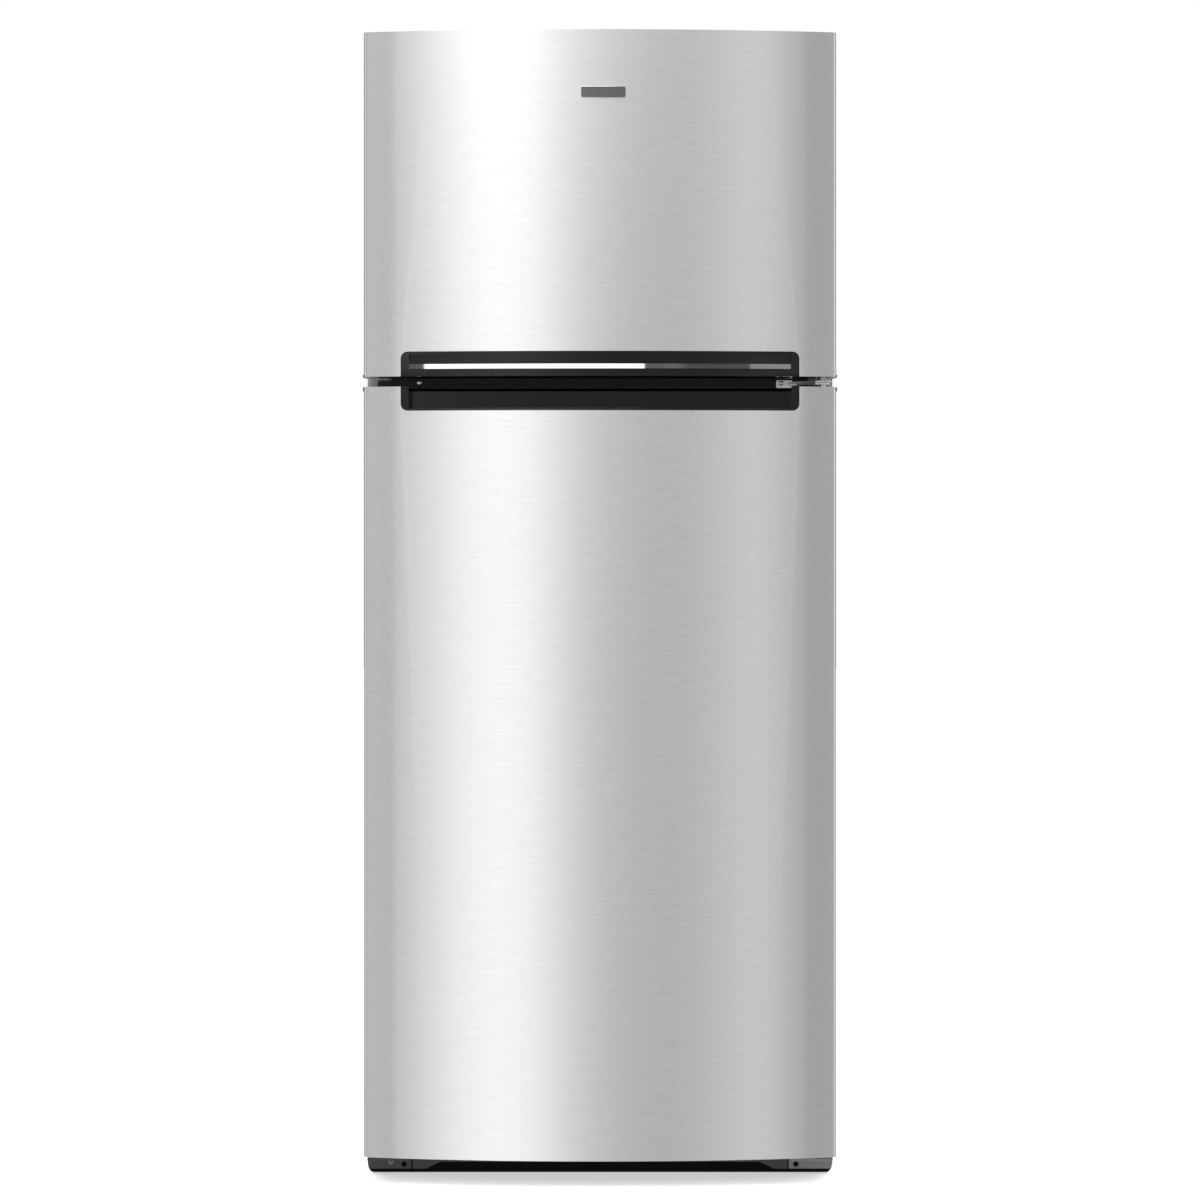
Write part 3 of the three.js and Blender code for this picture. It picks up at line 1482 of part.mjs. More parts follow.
const refrigerator = new THREE.Group();
refrigerator.add(cabinet, machineRoom, freezerInside, fridgeInside, feet, freezerDoor, fridgeDoor);
export default refrigerator;
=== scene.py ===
"""Looks of a top freezer refrigerator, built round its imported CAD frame. Metres, +Z up, -Y to the front."""

import json
import math

import bmesh
import bpy
from mathutils import Matrix, Vector


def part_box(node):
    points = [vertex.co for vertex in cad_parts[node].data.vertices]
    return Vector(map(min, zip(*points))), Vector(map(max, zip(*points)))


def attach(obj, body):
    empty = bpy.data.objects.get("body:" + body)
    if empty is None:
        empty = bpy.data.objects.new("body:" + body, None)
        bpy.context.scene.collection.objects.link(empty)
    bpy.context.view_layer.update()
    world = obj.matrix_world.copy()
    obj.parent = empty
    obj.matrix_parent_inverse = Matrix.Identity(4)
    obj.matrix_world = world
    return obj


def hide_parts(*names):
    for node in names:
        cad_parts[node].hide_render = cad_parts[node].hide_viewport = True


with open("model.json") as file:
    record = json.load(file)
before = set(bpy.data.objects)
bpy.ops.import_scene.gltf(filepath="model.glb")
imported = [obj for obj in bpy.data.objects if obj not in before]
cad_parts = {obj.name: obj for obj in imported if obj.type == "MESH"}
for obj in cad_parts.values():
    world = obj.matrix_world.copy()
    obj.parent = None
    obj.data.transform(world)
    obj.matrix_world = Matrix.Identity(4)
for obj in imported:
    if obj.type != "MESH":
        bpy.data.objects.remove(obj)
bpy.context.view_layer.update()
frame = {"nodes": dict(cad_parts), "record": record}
scene = bpy.context.scene
MM = 0.001

# ---------------------------------------------------------------- sizes taken from the frame
CROWN = 26 * MM  # a door's middle stands this far forward of its sides
FREEZER_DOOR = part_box("freezer_door_skin")
FRIDGE_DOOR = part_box("fridge_door_skin")
HALF_WIDTH = FREEZER_DOOR[1].x
DOOR_FRONT = FREEZER_DOOR[0].y  # the crown
EDGE_FRONT = DOOR_FRONT + CROWN  # a door's front at its sides
CROWN_RADIUS = (HALF_WIDTH**2 + CROWN**2) / (2 * CROWN)
GAP_MIDDLE = (FREEZER_DOOR[0].z + FRIDGE_DOOR[1].z) / 2
CABINET_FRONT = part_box("cabinet_shell")[0].y


def box_mm(node):
    """A node's lowest and highest corners at rest, in mm."""
    low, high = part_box(node)
    return low / MM, high / MM


def crown_y(x, inset=0.0):
    """Where a door's crowned front lies at x, set back by inset."""
    radius = CROWN_RADIUS - inset
    return DOOR_FRONT + CROWN_RADIUS - math.sqrt(radius**2 - x**2)


# ---------------------------------------------------------------- camera
def make_camera():
    """Level, so that the sides stay upright, with its eye a little above the middle of the doors."""
    eye = 0.981
    picture_middle = 0.8738
    distance = 3.9
    picture_height = 1.791  # at the door edges
    data = bpy.data.cameras.new("camera")
    camera = bpy.data.objects.new("camera", data)
    scene.collection.objects.link(camera)
    data.sensor_width = 36
    data.lens = data.sensor_width * distance / picture_height
    data.shift_y = (picture_middle - eye) / picture_height
    camera.location = (0, EDGE_FRONT - distance, eye)
    camera.rotation_euler = (math.radians(90), 0, 0)
    scene.camera = camera


make_camera()

# ---------------------------------------------------------------- nodes and colours


def linear(colour):
    """An sRGB hex colour as linear red, green, blue and alpha."""
    parts = [int(colour[i : i + 2], 16) / 255 for i in (0, 2, 4)]
    return [c / 12.92 if c <= 0.04045 else ((c + 0.055) / 1.055) ** 2.4 for c in parts] + [1.0]


def add(tree, kind, links=None, inputs=None, **settings):
    """A node with its settings, its input values, and links from other nodes' sockets."""
    made = tree.nodes.new(kind)
    for name, value in settings.items():
        setattr(made, name, value)
    for key, value in (inputs or {}).items():
        made.inputs[key].default_value = value
    for key, socket in (links or {}).items():
        tree.links.new(socket, made.inputs[key])
    return made


def surface(name, colour, roughness, **inputs):
    """A material with one Principled shader. Returns the material, its node tree and the shader."""
    material = bpy.data.materials.new(name)
    material.use_nodes = True
    tree = material.node_tree
    tree.nodes.clear()
    values = {"Base Color": linear(colour), "Roughness": roughness}
    shader = add(tree, "ShaderNodeBsdfPrincipled", inputs={**values, **inputs})
    add(tree, "ShaderNodeOutputMaterial", {"Surface": shader.outputs[0]})
    return material, tree, shader


def grain(tree, size_mm, stretch=(1, 1, 1), detail=3, kind="ShaderNodeTexNoise"):
    """A noise or cell pattern whose features are size_mm across, longer by stretch on each axis."""
    place = add(tree, "ShaderNodeTexCoord")
    scale = [1 / (size_mm * MM * s) for s in stretch]
    sized = add(tree, "ShaderNodeMapping", {"Vector": place.outputs["Object"]}, {"Scale": scale})
    inputs = {"Scale": 1.0}
    if kind == "ShaderNodeTexNoise":
        inputs["Detail"] = detail
    return add(tree, kind, {"Vector": sized.outputs[0]}, inputs)


def spread(tree, socket, low, high):
    """A pattern's 0 to 1 taken to low to high."""
    inputs = {"To Min": low, "To Max": high}
    return add(tree, "ShaderNodeMapRange", {"Value": socket}, inputs).outputs[0]


def tint(tree, socket, dark, light):
    """A pattern as a blend of two colours."""
    ramp = add(tree, "ShaderNodeValToRGB", {"Fac": socket})
    ramp.color_ramp.elements[0].color = linear(dark)
    ramp.color_ramp.elements[1].color = linear(light)
    ramp.color_ramp.elements[0].position = 0.3
    ramp.color_ramp.elements[1].position = 0.7
    return ramp.outputs["Color"]


def dent(tree, shader, socket, height_mm, strength=1.0):
    """A pattern as relief of height_mm."""
    inputs = {"Strength": strength, "Distance": height_mm * MM}
    bump = add(tree, "ShaderNodeBump", {"Height": socket}, inputs)
    tree.links.new(bump.outputs[0], shader.inputs["Normal"])


# ---------------------------------------------------------------- materials


def brushed_stainless():
    """430 stainless, belt brushed across: reflections smear up and down, with fine level scratches."""
    material, tree, shader = surface(
        "brushed_stainless", "cdcdcc", 0.21, Metallic=1.0, Anisotropic=0.78
    )
    shader.inputs["Anisotropic Rotation"].default_value = 0.25
    tangent = add(tree, "ShaderNodeTangent", direction_type="RADIAL", axis="Z")
    tree.links.new(tangent.outputs[0], shader.inputs["Tangent"])
    # the real scratches are 0.05 mm apart: drawn 0.8 mm apart and 30 mm long, so that they show
    scratches = grain(tree, 0.8, (38, 38, 1), detail=6).outputs["Fac"]
    tree.links.new(spread(tree, scratches, 0.19, 0.23), shader.inputs["Roughness"])
    mottle = grain(tree, 3.0, (9, 9, 1), detail=4).outputs["Fac"]
    tree.links.new(tint(tree, mottle, "cbcbca", "cfcfce"), shader.inputs["Base Color"])
    dent(tree, shader, scratches, 0.0025)
    return material


def textured_paint(name, light, dark, roughness=0.42):
    """Polyester powder paint: a fine orange peel about 1.5 mm across."""
    material, tree, shader = surface(name, light, roughness)
    peel = grain(tree, 1.6, detail=2).outputs["Fac"]
    cloud = grain(tree, 180, detail=2).outputs["Fac"]
    tree.links.new(tint(tree, cloud, dark, light), shader.inputs["Base Color"])
    tree.links.new(spread(tree, peel, roughness - 0.05, roughness + 0.08), shader.inputs["Roughness"])
    dent(tree, shader, peel, 0.09, 0.7)
    return material


def galvanised_steel():
    """Hot dipped zinc: crystals about 9 mm across, each catching the light a little differently."""
    material, tree, shader = surface("galvanised_steel", "b4b8ba", 0.42, Metallic=0.9)
    crystals = grain(tree, 9, kind="ShaderNodeTexVoronoi").outputs["Color"]
    shade = add(tree, "ShaderNodeSeparateColor", {"Color": crystals}).outputs[0]
    tree.links.new(tint(tree, shade, "b0b4b6", "b8bcbe"), shader.inputs["Base Color"])
    tree.links.new(spread(tree, shade, 0.38, 0.46), shader.inputs["Roughness"])
    return material


def bright_plate(name, colour, roughness):
    """Plated steel: a mirror, softened by fine polishing marks."""
    material, tree, shader = surface(name, colour, roughness, Metallic=1.0)
    marks = grain(tree, 1.5, (8, 1, 1), detail=4).outputs["Fac"]
    tree.links.new(spread(tree, marks, roughness * 0.7, roughness * 1.5), shader.inputs["Roughness"])
    return material


def gloss_abs(name, colour, roughness=0.06, specular=0.5):
    """High gloss ABS from a polished mould, with the slight waviness of shrinkage."""
    material, tree, shader = surface(
        name, colour, roughness, IOR=1.46, **{"Specular IOR Level": specular}
    )
    flow = grain(tree, 40, detail=1).outputs["Fac"]
    tree.links.new(spread(tree, flow, roughness * 0.8, roughness * 1.3), shader.inputs["Roughness"])
    dent(tree, shader, flow, 0.05, 0.25)
    return material


def grained_plastic(name, dark, light, roughness=0.5, size_mm=0.8, specular=0.5):
    """Polypropylene or ABS from an etched mould: a fine even grain."""
    material, tree, shader = surface(
        name, light, roughness, IOR=1.5, **{"Specular IOR Level": specular}
    )
    etch = grain(tree, size_mm, detail=2).outputs["Fac"]
    tree.links.new(tint(tree, etch, dark, light), shader.inputs["Base Color"])
    tree.links.new(spread(tree, etch, roughness - 0.06, roughness + 0.08), shader.inputs["Roughness"])
    dent(tree, shader, etch, 0.06, 0.6)
    return material


def white_polystyrene():
    """Thermoformed high impact polystyrene: satin gloss, with long soft waves from the forming."""
    material, tree, shader = surface("white_polystyrene", "dcdedc", 0.24, IOR=1.57)
    waves = grain(tree, 60, detail=2).outputs["Fac"]
    tree.links.new(tint(tree, waves, "d9dbd9", "e0e1df"), shader.inputs["Base Color"])
    tree.links.new(spread(tree, waves, 0.2, 0.3), shader.inputs["Roughness"])
    dent(tree, shader, waves, 0.12, 0.3)
    return material


def gasket_pvc():
    """Soft extruded PVC: dull, with a faint drag along its length."""
    material, tree, shader = surface("gasket_pvc", "a3a6a7", 0.62, IOR=1.52)
    drag = grain(tree, 2.5, detail=3).outputs["Fac"]
    tree.links.new(tint(tree, drag, "989b9c", "abaeaf"), shader.inputs["Base Color"])
    dent(tree, shader, drag, 0.05, 0.5)
    return material


def clear_polystyrene():
    """General purpose polystyrene: clear, a little blue, brighter at its edges."""
    material, tree, shader = surface(
        "clear_polystyrene", "eaf2f5", 0.04, IOR=1.59, **{"Transmission Weight": 0.94}
    )
    flow = grain(tree, 30, detail=2).outputs["Fac"]
    tree.links.new(spread(tree, flow, 0.03, 0.08), shader.inputs["Roughness"])
    dent(tree, shader, flow, 0.06, 0.3)
    return material


def tempered_glass():
    """Soda lime float glass, 4 mm, faintly green."""
    material, tree, shader = surface(
        "tempered_glass", "e2f2ec", 0.02, IOR=1.52, **{"Transmission Weight": 1.0}
    )
    rollers = grain(tree, 70, (1, 6, 1), detail=1).outputs["Fac"]
    tree.links.new(spread(tree, rollers, 0.01, 0.03), shader.inputs["Roughness"])
    return material


def polyurethane_foam():
    """Foam seen at its cut skin: pale yellow and pitted."""
    material, tree, shader = surface("polyurethane_foam", "e6d9a6", 0.9)
    cells = grain(tree, 1.5, kind="ShaderNodeTexVoronoi").outputs["Distance"]
    tree.links.new(tint(tree, cells, "d8c88c", "ecdfb0"), shader.inputs["Base Color"])
    dent(tree, shader, cells, 0.5)
    return material


def black_enamel():
    """Compressor enamel: sprayed, glossy, with a light orange peel."""
    material, tree, shader = surface("black_enamel", "0e0e0f", 0.22, IOR=1.52)
    peel = grain(tree, 3, detail=2).outputs["Fac"]
    tree.links.new(spread(tree, peel, 0.16, 0.32), shader.inputs["Roughness"])
    dent(tree, shader, peel, 0.08, 0.6)
    return material


def mill_aluminium():
    """Rolled fin stock: bright, with rolling lines."""
    material, tree, shader = surface("mill_aluminium", "c8cacc", 0.35, Metallic=1.0)
    lines = grain(tree, 0.8, (1, 1, 30), detail=4).outputs["Fac"]
    tree.links.new(spread(tree, lines, 0.28, 0.46), shader.inputs["Roughness"])
    return material


def copper_tube():
    """Drawn copper, darkened unevenly where it has been handled."""
    material, tree, shader = surface("copper_tube", "b8704c", 0.28, Metallic=1.0)
    tarnish = grain(tree, 25, detail=4).outputs["Fac"]
    tree.links.new(tint(tree, tarnish, "8d4f34", "c67d58"), shader.inputs["Base Color"])
    tree.links.new(spread(tree, tarnish, 0.2, 0.45), shader.inputs["Roughness"])
    return material


STAINLESS = brushed_stainless()
GRIP_FLANGE = grained_plastic("black_grip_flange", "111112", "151516", 0.5, specular=0.2)
GREY_PAINT = textured_paint("grey_powder_paint", "8a8d8f", "888b8d")
DARK_PAINT = textured_paint("dark_powder_paint", "3e3f41", "3b3c3e", 0.4)
BRACKET_PAINT = textured_paint("bracket_grey_paint", "5c5d5e", "58595a", 0.4)
ZINC = galvanised_steel()
CHROME = bright_plate("chrome_plate", "dcdcda", 0.12)
DARK_CHROME = bright_plate("dark_chrome", "6f7072", 0.14)
GLOSS_BLACK = gloss_abs("gloss_black_abs", "070708", specular=0.3)
POLISHED_BLACK = gloss_abs("polished_black_abs", "070708", 0.03)
SATIN_ZINC = bright_plate("bright_zinc_plate", "d4d5d3", 0.3)
# a black plastic grille, made darker and less reflective than black plastic is: painted shade for the hollow
# under the kick panel
GRILLE_PAINTED_SHADE = grained_plastic("grille_painted_shade_black", "040404", "080808", 0.7, specular=0.08)
KICK_GREY = grained_plastic("kick_panel_polypropylene", "2f2f31", "373739", 0.55, specular=0.25)
MATTE_BLACK = grained_plastic("black_polypropylene", "161617", "1d1d1f")
DARK_GREY = grained_plastic("dark_grey_polypropylene", "2d2d2f", "363638")
WHITE = white_polystyrene()
WHITE_NYLON = grained_plastic("white_nylon", "dedfdc", "e9eae7", 0.4, 1.2)
PVC = gasket_pvc()
CLEAR = clear_polystyrene()
GLASS = tempered_glass()
FOAM = polyurethane_foam()
ENAMEL = black_enamel()
ALUMINIUM = mill_aluminium()
COPPER = copper_tube()
LENS = grained_plastic("frosted_lamp_lens", "f2f3f0", "fafaf8", 0.35)
COATED_WIRE = gloss_abs("white_coated_wire", "eeeeea", 0.3)

# ---------------------------------------------------------------- mesh work


def smooth(mesh):
    """Smooth shading, broken where two faces meet at more than 32 degrees."""
    mesh.shade_smooth()
    mesh.set_sharp_from_angle(angle=math.radians(32))


def new_piece(name, bm, material, body, edge_mm=0.0, segments=2, second=None):
    """A mesh object from bm, with its edges rounded, riding on a body.

    Faces marked 1 get the second material."""
    mesh = bpy.data.meshes.new(name)
    bm.to_mesh(mesh)
    bm.free()
    for layer in [a for a in mesh.attributes if a.name == "custom_normal"]:
        mesh.attributes.remove(layer)
    for finish in filter(None, (material, second)):
        mesh.materials.append(finish)
    smooth(mesh)
    piece = bpy.data.objects.new(name, mesh)
    scene.collection.objects.link(piece)
    if edge_mm:
        bevel = piece.modifiers.new("rounded edges", "BEVEL")
        bevel.width = edge_mm * MM
        bevel.segments = segments
        bevel.limit_method = "ANGLE"
        bevel.angle_limit = math.radians(40)
        bevel.harden_normals = True
    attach(piece, body)
    return piece


def extra(name, bm, material, body, edge_mm=0.0, segments=2):
    """A small piece that no CAD node stands for."""
    piece = new_piece(name, bm, material, body, edge_mm, segments)


def prism(bm, outline, axis, low, high):
    """A solid of an outline, given in the two other axes in mm, between two places on an axis."""
    place = {"y": lambda u, v, w: (u, w, v), "z": lambda u, v, w: (u, v, w)}[axis]
    ends = [[bm.verts.new(Vector(place(u, v, w)) * MM) for u, v in outline] for w in (low, high)]
    count = len(outline)
    faces = [bm.faces.new(ends[0]), bm.faces.new(list(reversed(ends[1])))]
    for i in range(count):
        j = (i + 1) % count
        faces.append(bm.faces.new([ends[0][j], ends[0][i], ends[1][i], ends[1][j]]))
    bmesh.ops.recalc_face_normals(bm, faces=faces)


def rounded_slab(bm, us, vs, radius, axis, low, high, steps=5):
    """A block whose outline has round corners."""
    outline = []
    corners = [(us[1], vs[1], 0), (us[0], vs[1], 90), (us[0], vs[0], 180), (us[1], vs[0], 270)]
    for u, v, start in corners:
        cu = u - math.copysign(radius, u - sum(us) / 2)
        cv = v - math.copysign(radius, v - sum(vs) / 2)
        for i in range(steps + 1):
            angle = math.radians(start + 90 * i / steps)
            outline.append((cu + radius * math.cos(angle), cv + radius * math.sin(angle)))
    prism(bm, outline, axis, low, high)


def turn(bm, profile, place, facing=(0, 0, 1), steps=32, lobed=()):
    """A round form from (radius, height) pairs in mm. Rings named in lobed are drawn in to a cross."""
    aim = Vector(facing).to_track_quat("Z", "Y").to_matrix().to_4x4()
    move = Matrix.Translation(Vector(place) * MM) @ aim
    rings = []
    for n, (radius, height) in enumerate(profile):
        ring = []
        for i in range(steps):
            angle = 2 * math.pi * i / steps
            reach = radius * (0.4 + 0.6 * abs(math.cos(2 * angle)) ** 3) if n in lobed else radius
            point = Vector((reach * math.cos(angle), reach * math.sin(angle), height)) * MM
            ring.append(bm.verts.new(move @ point))
        rings.append(ring)
    bm.faces.new(list(reversed(rings[0])))
    bm.faces.new(rings[-1])
    for low, high in zip(rings, rings[1:]):
        for i in range(steps):
            j = (i + 1) % steps
            bm.faces.new([low[i], low[j], high[j], high[i]])


def screw_head(bm, place, facing, r):
    """A pan head of radius r with a cross recess."""
    shape = [(r, 0), (r, 0.25 * r), (0.92 * r, 0.42 * r), (0.75 * r, 0.55 * r), (0.6 * r, 0.6 * r)]
    shape += [(0.58 * r, 0.6 * r), (0.5 * r, 0.3 * r), (0.2 * r, 0.15 * r)]
    turn(bm, shape, place, facing, lobed=(5, 6, 7))


def screws(name, places, facing, body, material, radius):
    """Screws of one kind that face one way, as one piece."""
    bm = bmesh.new()
    for place in places:
        screw_head(bm, place, facing, radius)
    extra(name, bm, material, body)


def tube(name, points, radius_mm, material, body):
    """A bent tube through points in mm."""
    curve = bpy.data.curves.new(name, "CURVE")
    curve.dimensions = "3D"
    curve.bevel_depth = radius_mm * MM
    curve.bevel_resolution = 4
    curve.resolution_u = 8
    curve.use_fill_caps = True
    path = curve.splines.new("NURBS")
    path.points.add(len(points) - 1)
    for point, place in zip(path.points, points):
        point.co = [c * MM for c in place] + [1]
    path.order_u = 4
    path.use_endpoint_u = True
    curve.materials.append(material)
    piece = bpy.data.objects.new(name, curve)
    scene.collection.objects.link(piece)
    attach(piece, body)


def body_of(node):
    """The body that a CAD node rides on."""
    return next(name for name, nodes in frame["record"]["behaviour"]["bodies"].items() if node in nodes)


def cad_copy(node):
    """The CAD node's mesh with its flat faces made whole again."""
    bm = bmesh.new()
    bm.from_mesh(frame["nodes"][node].data)
    bmesh.ops.remove_doubles(bm, verts=bm.verts, dist=0.005 * MM)
    bmesh.ops.dissolve_limit(bm, angle_limit=math.radians(0.3), verts=bm.verts, edges=bm.edges)
    return bm


def soften(node, material, edge_mm=0.6, segments=2, shape=None, second=None, where=None):
    """The piece that stands for a CAD node: the same form with rounded edges, reshaped by shape if given.

    Faces whose middle passes where, in mm, get the second material."""
    bm = cad_copy(node)
    if shape:
        shape(bm)
    for face in bm.faces:
        face.material_index = int(bool(where and where(face.calc_center_median() / MM)))
    piece = new_piece(node + "_piece", bm, material, body_of(node), edge_mm, segments, second)
    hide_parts(node)


# ---------------------------------------------------------------- doors
LEDGE_LOW = FREEZER_DOOR[0].z + 11 * MM
LEDGE_HIGH = FREEZER_DOOR[0].z + 18.5 * MM
LEDGE_END = 0.2862  # the sunk face ends this far from the middle, in metres
FACE_SINK = 5 * MM  # how far the upper grip's face lies behind the steel
FACE_REACH = 2.5 * MM  # what lies further back than this is behind the face
UPPER_NOTCH = 37  # heights in mm of the openings in the skins for the grips
LOWER_NOTCH = 36
EAR_REACH = 58  # from the end of a notch to the tip of the door's ear
SHEET_RETURN = 20  # the cut edge's sheet goes back no further than this


def slope_ledge(bm):
    """Turns the step under the grip's sunk face into a slope."""
    everything = bm.verts[:] + bm.edges[:] + bm.faces[:]
    bmesh.ops.bisect_plane(bm, geom=everything, plane_co=(0, 0, LEDGE_LOW), plane_no=(0, 0, 1))
    for v in bm.verts:
        on_edge = abs(v.co.z - LEDGE_HIGH) < 0.2 * MM
        if on_edge and v.co.y < crown_y(v.co.x) + FACE_REACH and abs(v.co.x) < LEDGE_END:
            v.co.y += FACE_SINK
    bmesh.ops.remove_doubles(bm, verts=bm.verts, dist=0.3 * MM)


def in_notch(m, low, high):
    """Whether a face of a skin is the sheet's cut edge round a grip."""
    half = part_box("freezer_handle")[1].x / MM - EAR_REACH
    within = abs(m.x) < half + 1.1 and low - 0.7 < m.z < high + 0.7
    return within and m.y < EDGE_FRONT / MM + SHEET_RETURN


def grip_ledge():
    """The polished bevel along the upper grip, from which a bright line shines."""
    reach = LEDGE_END - 0.002
    steps = 96
    proud = 0.3 * MM
    bm = bmesh.new()
    rows = []
    for i in range(steps + 1):
        x = -reach + 2 * reach * i / steps
        y = crown_y(x, 0.4 * MM)
        section = [(y - proud, LEDGE_LOW), (y + FACE_SINK - proud, LEDGE_HIGH)]
        section += [(y + FACE_SINK + proud, LEDGE_HIGH - proud), (y + 2 * proud, LEDGE_LOW - proud)]
        rows.append([bm.verts.new((x, v, w)) for v, w in section])
    for a, b in zip(rows, rows[1:]):
        for k in range(4):
            bm.faces.new([a[k], a[(k + 1) % 4], b[(k + 1) % 4], b[k]])
    bm.faces.new(rows[0])
    bm.faces.new(list(reversed(rows[-1])))
    bmesh.ops.recalc_face_normals(bm, faces=bm.faces)
    extra("grip_ledge", bm, POLISHED_BLACK, "freezer_door")


def doors():
    """Both doors with their skins, grips, caps, liners, gaskets and bins."""
    low, high = FREEZER_DOOR[0].z / MM, FRIDGE_DOOR[1].z / MM
    upper_notch = lambda m: in_notch(m, low, low + UPPER_NOTCH)
    lower_notch = lambda m: in_notch(m, high - LOWER_NOTCH, high)
    soften("freezer_door_skin", STAINLESS, 0, second=GRIP_FLANGE, where=upper_notch)
    soften("fridge_door_skin", STAINLESS, 0, second=GRIP_FLANGE, where=lower_notch)
    grip_ledge()
    soften("freezer_handle", GLOSS_BLACK, 0.5, shape=slope_ledge)
    soften("fridge_handle", GLOSS_BLACK, 0.8)
    soften("badge", DARK_CHROME, 0.4)
    for node in ("freezer_door_top_cap", "fridge_door_bottom_cap"):
        soften(node, DARK_GREY, 0.6)
    for node in ("freezer_door_foam", "fridge_door_foam"):
        soften(node, FOAM, 0)
    for node in ("freezer_door_liner", "fridge_door_liner"):
        soften(node, WHITE, 2.5, 3)
    for node in ("freezer_door_gasket", "fridge_door_gasket"):
        soften(node, PVC, 1.5, 3)
    bins = ("freezer_lower_bin", "freezer_upper_bin", "bottle_bin", "middle_bin", "dairy_bin")
    for node in (*bins, "dairy_lid"):
        soften(node, CLEAR, 0.8)


# ---------------------------------------------------------------- cabinet
HINGE = next(j for j in frame["record"]["behaviour"]["joints"] if j["name"] == "freezer_door_hinge")
PIN_X, PIN_Y = (c / MM for c in HINGE["pos_m"][:2])
GAP = GAP_MIDDLE / MM
FACE = CABINET_FRONT / MM


def centre_hinge():
    """The bracket between the doors: a root screwed to the mullion, an arm of two leaves, and the pin."""
    bm = bmesh.new()
    root_front = FACE - 3.2
    rounded_slab(bm, (PIN_X - 69, PIN_X - 44), (GAP - 6, GAP + 6), 2, "y", root_front, FACE - 0.4)
    for inset, low, high in ((0, 0.6, 3.4), (2, -2.6, 0.4)):
        arm = [(PIN_X - 50, FACE - 0.6), (PIN_X - 50, FACE - 4), (PIN_X - 38, FACE - 9 + inset)]
        arm += [(PIN_X - 12, PIN_Y - 10 + inset), (PIN_X + 8 - inset, PIN_Y - 10 + inset)]
        arm += [(PIN_X + 11 - inset, PIN_Y - 7 + inset), (PIN_X + 11 - inset, FACE - 0.6)]
        prism(bm, arm, "z", GAP + low, GAP + high)
    pin = [(4.2, -19.5), (5, -18.5), (5, 18.5), (4.2, 19.5)]
    washer = [(7.6, 3.4), (8, 3.8), (8, 5.6), (7.2, 6.2)]
    for shape in (pin, washer):
        turn(bm, shape, (PIN_X, PIN_Y, GAP), steps=40)
    piece = new_piece("center_hinge_piece", bm, SATIN_ZINC, "cabinet", 0.4)
    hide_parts("center_hinge")
    place = (PIN_X - 61, root_front, GAP + 1.5)
    screws("center_hinge_screw", [place], (0, -1, 0), "cabinet", CHROME, 3.6)


def spare_hinge_cover():
    """The plug plate over the hinge holes on the side away from the hinges, with its screw."""
    bm = bmesh.new()
    zs = (GAP - 5.5, GAP + 5.5)
    plate_front = FACE - 2.6
    rounded_slab(bm, (-PIN_X + 12, -PIN_X + 80), zs, 1.5, "y", plate_front, FACE - 0.3)
    rounded_slab(bm, (-PIN_X - 1, -PIN_X + 11), zs, 1.5, "y", plate_front + 0.4, FACE - 0.3)
    extra("spare_hinge_cover", bm, MATTE_BLACK, "cabinet", 0.5)
    place = (-PIN_X + 62, plate_front, GAP + 2.2)
    screws("spare_hinge_screw", [place], (0, -1, 0), "cabinet", CHROME, 4.2)


def back_stiffeners():
    """Two tall pressed fields that keep the thin back from drumming."""
    low, high = box_mm("back_panel")
    bm = bmesh.new()
    zs = (low.z + 60, high.z - 60)
    for side in (-1, 1):
        xs = sorted((side * 22, side * (high.x - 36)))
        rounded_slab(bm, xs, zs, 24, "y", high.y - 0.4, high.y + 2.2, 8)
    extra("back_stiffeners", bm, ZINC, "cabinet", 1.6, 3)


def foot_screw():
    """The screw that holds the bracket plate under the doors, on the side away from the hinges."""
    plate_setback = 22
    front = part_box("leg_bracket")[0].y / MM + plate_setback
    place = (-PIN_X + 20, front, 24)
    screws("leg_bracket_screw", [place], (0, -1, 0), "cabinet", DARK_CHROME, 4.5)



def cabinet():
    """The carcass, its hinges and its base."""
    soften("cabinet_shell", GREY_PAINT, 0.4)
    soften("back_panel", ZINC, 0.2)
    back_stiffeners()
    soften("bottom_deck", ZINC, 0.4)
    soften("cabinet_foam", FOAM, 0)
    soften("freezer_liner", WHITE, 3, 3)
    soften("fridge_liner", WHITE, 3, 3)
    soften("mullion_rail", MATTE_BLACK, 0.6)
    soften("top_hinge", ZINC, 0.6)
    soften("top_hinge_cover", DARK_GREY, 1.5, 3)
    low, high = box_mm("top_hinge_cover")
    place = ((low.x + high.x) / 2, high.y - 18, high.z - 0.4)
    screws("top_hinge_cover_screw", [place], (0, 0, 1), "cabinet", DARK_PAINT, 3.6)
    centre_hinge()
    spare_hinge_cover()
    soften("bottom_hinge", BRACKET_PAINT, 0.6)
    soften("leg_bracket", KICK_GREY, 0.6)
    kick_depth = 19  # the kick panel's share of the joined panel and grille
    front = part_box("toe_grille")[0].y / MM
    kick = lambda m: m.y < front + kick_depth
    # the grille behind the kick panel gets the painted shade black, which stands in for the shade under the
    # cabinet
    soften("toe_grille", GRILLE_PAINTED_SHADE, 0.6, second=KICK_GREY, where=kick)
    foot_screw()


def machine_room():
    """What lies behind the cover at the foot of the back."""
    soften("base_tray", ZINC, 0.4)
    soften("compressor", ENAMEL, 1.5)
    soften("condenser", ENAMEL, 0)
    soften("drain_pan", MATTE_BLACK, 0.6)
    soften("condenser_fan_motor", DARK_PAINT, 0.5)
    soften("condenser_fan", MATTE_BLACK, 0.4)
    soften("machine_cover", ZINC, 0.5)
    soften("cord_gland", MATTE_BLACK, 0.6)
    low, high = box_mm("machine_cover")
    xs = (low.x + 12, (low.x + high.x) / 2, high.x - 12)
    places = [(x, high.y - 2.8, z) for x in xs for z in (low.z + 11, high.z - 11)]
    screws("machine_cover_screws", places, (0, 1, 0), "cabinet", ZINC, 4.5)
    refrigerant_pipes()


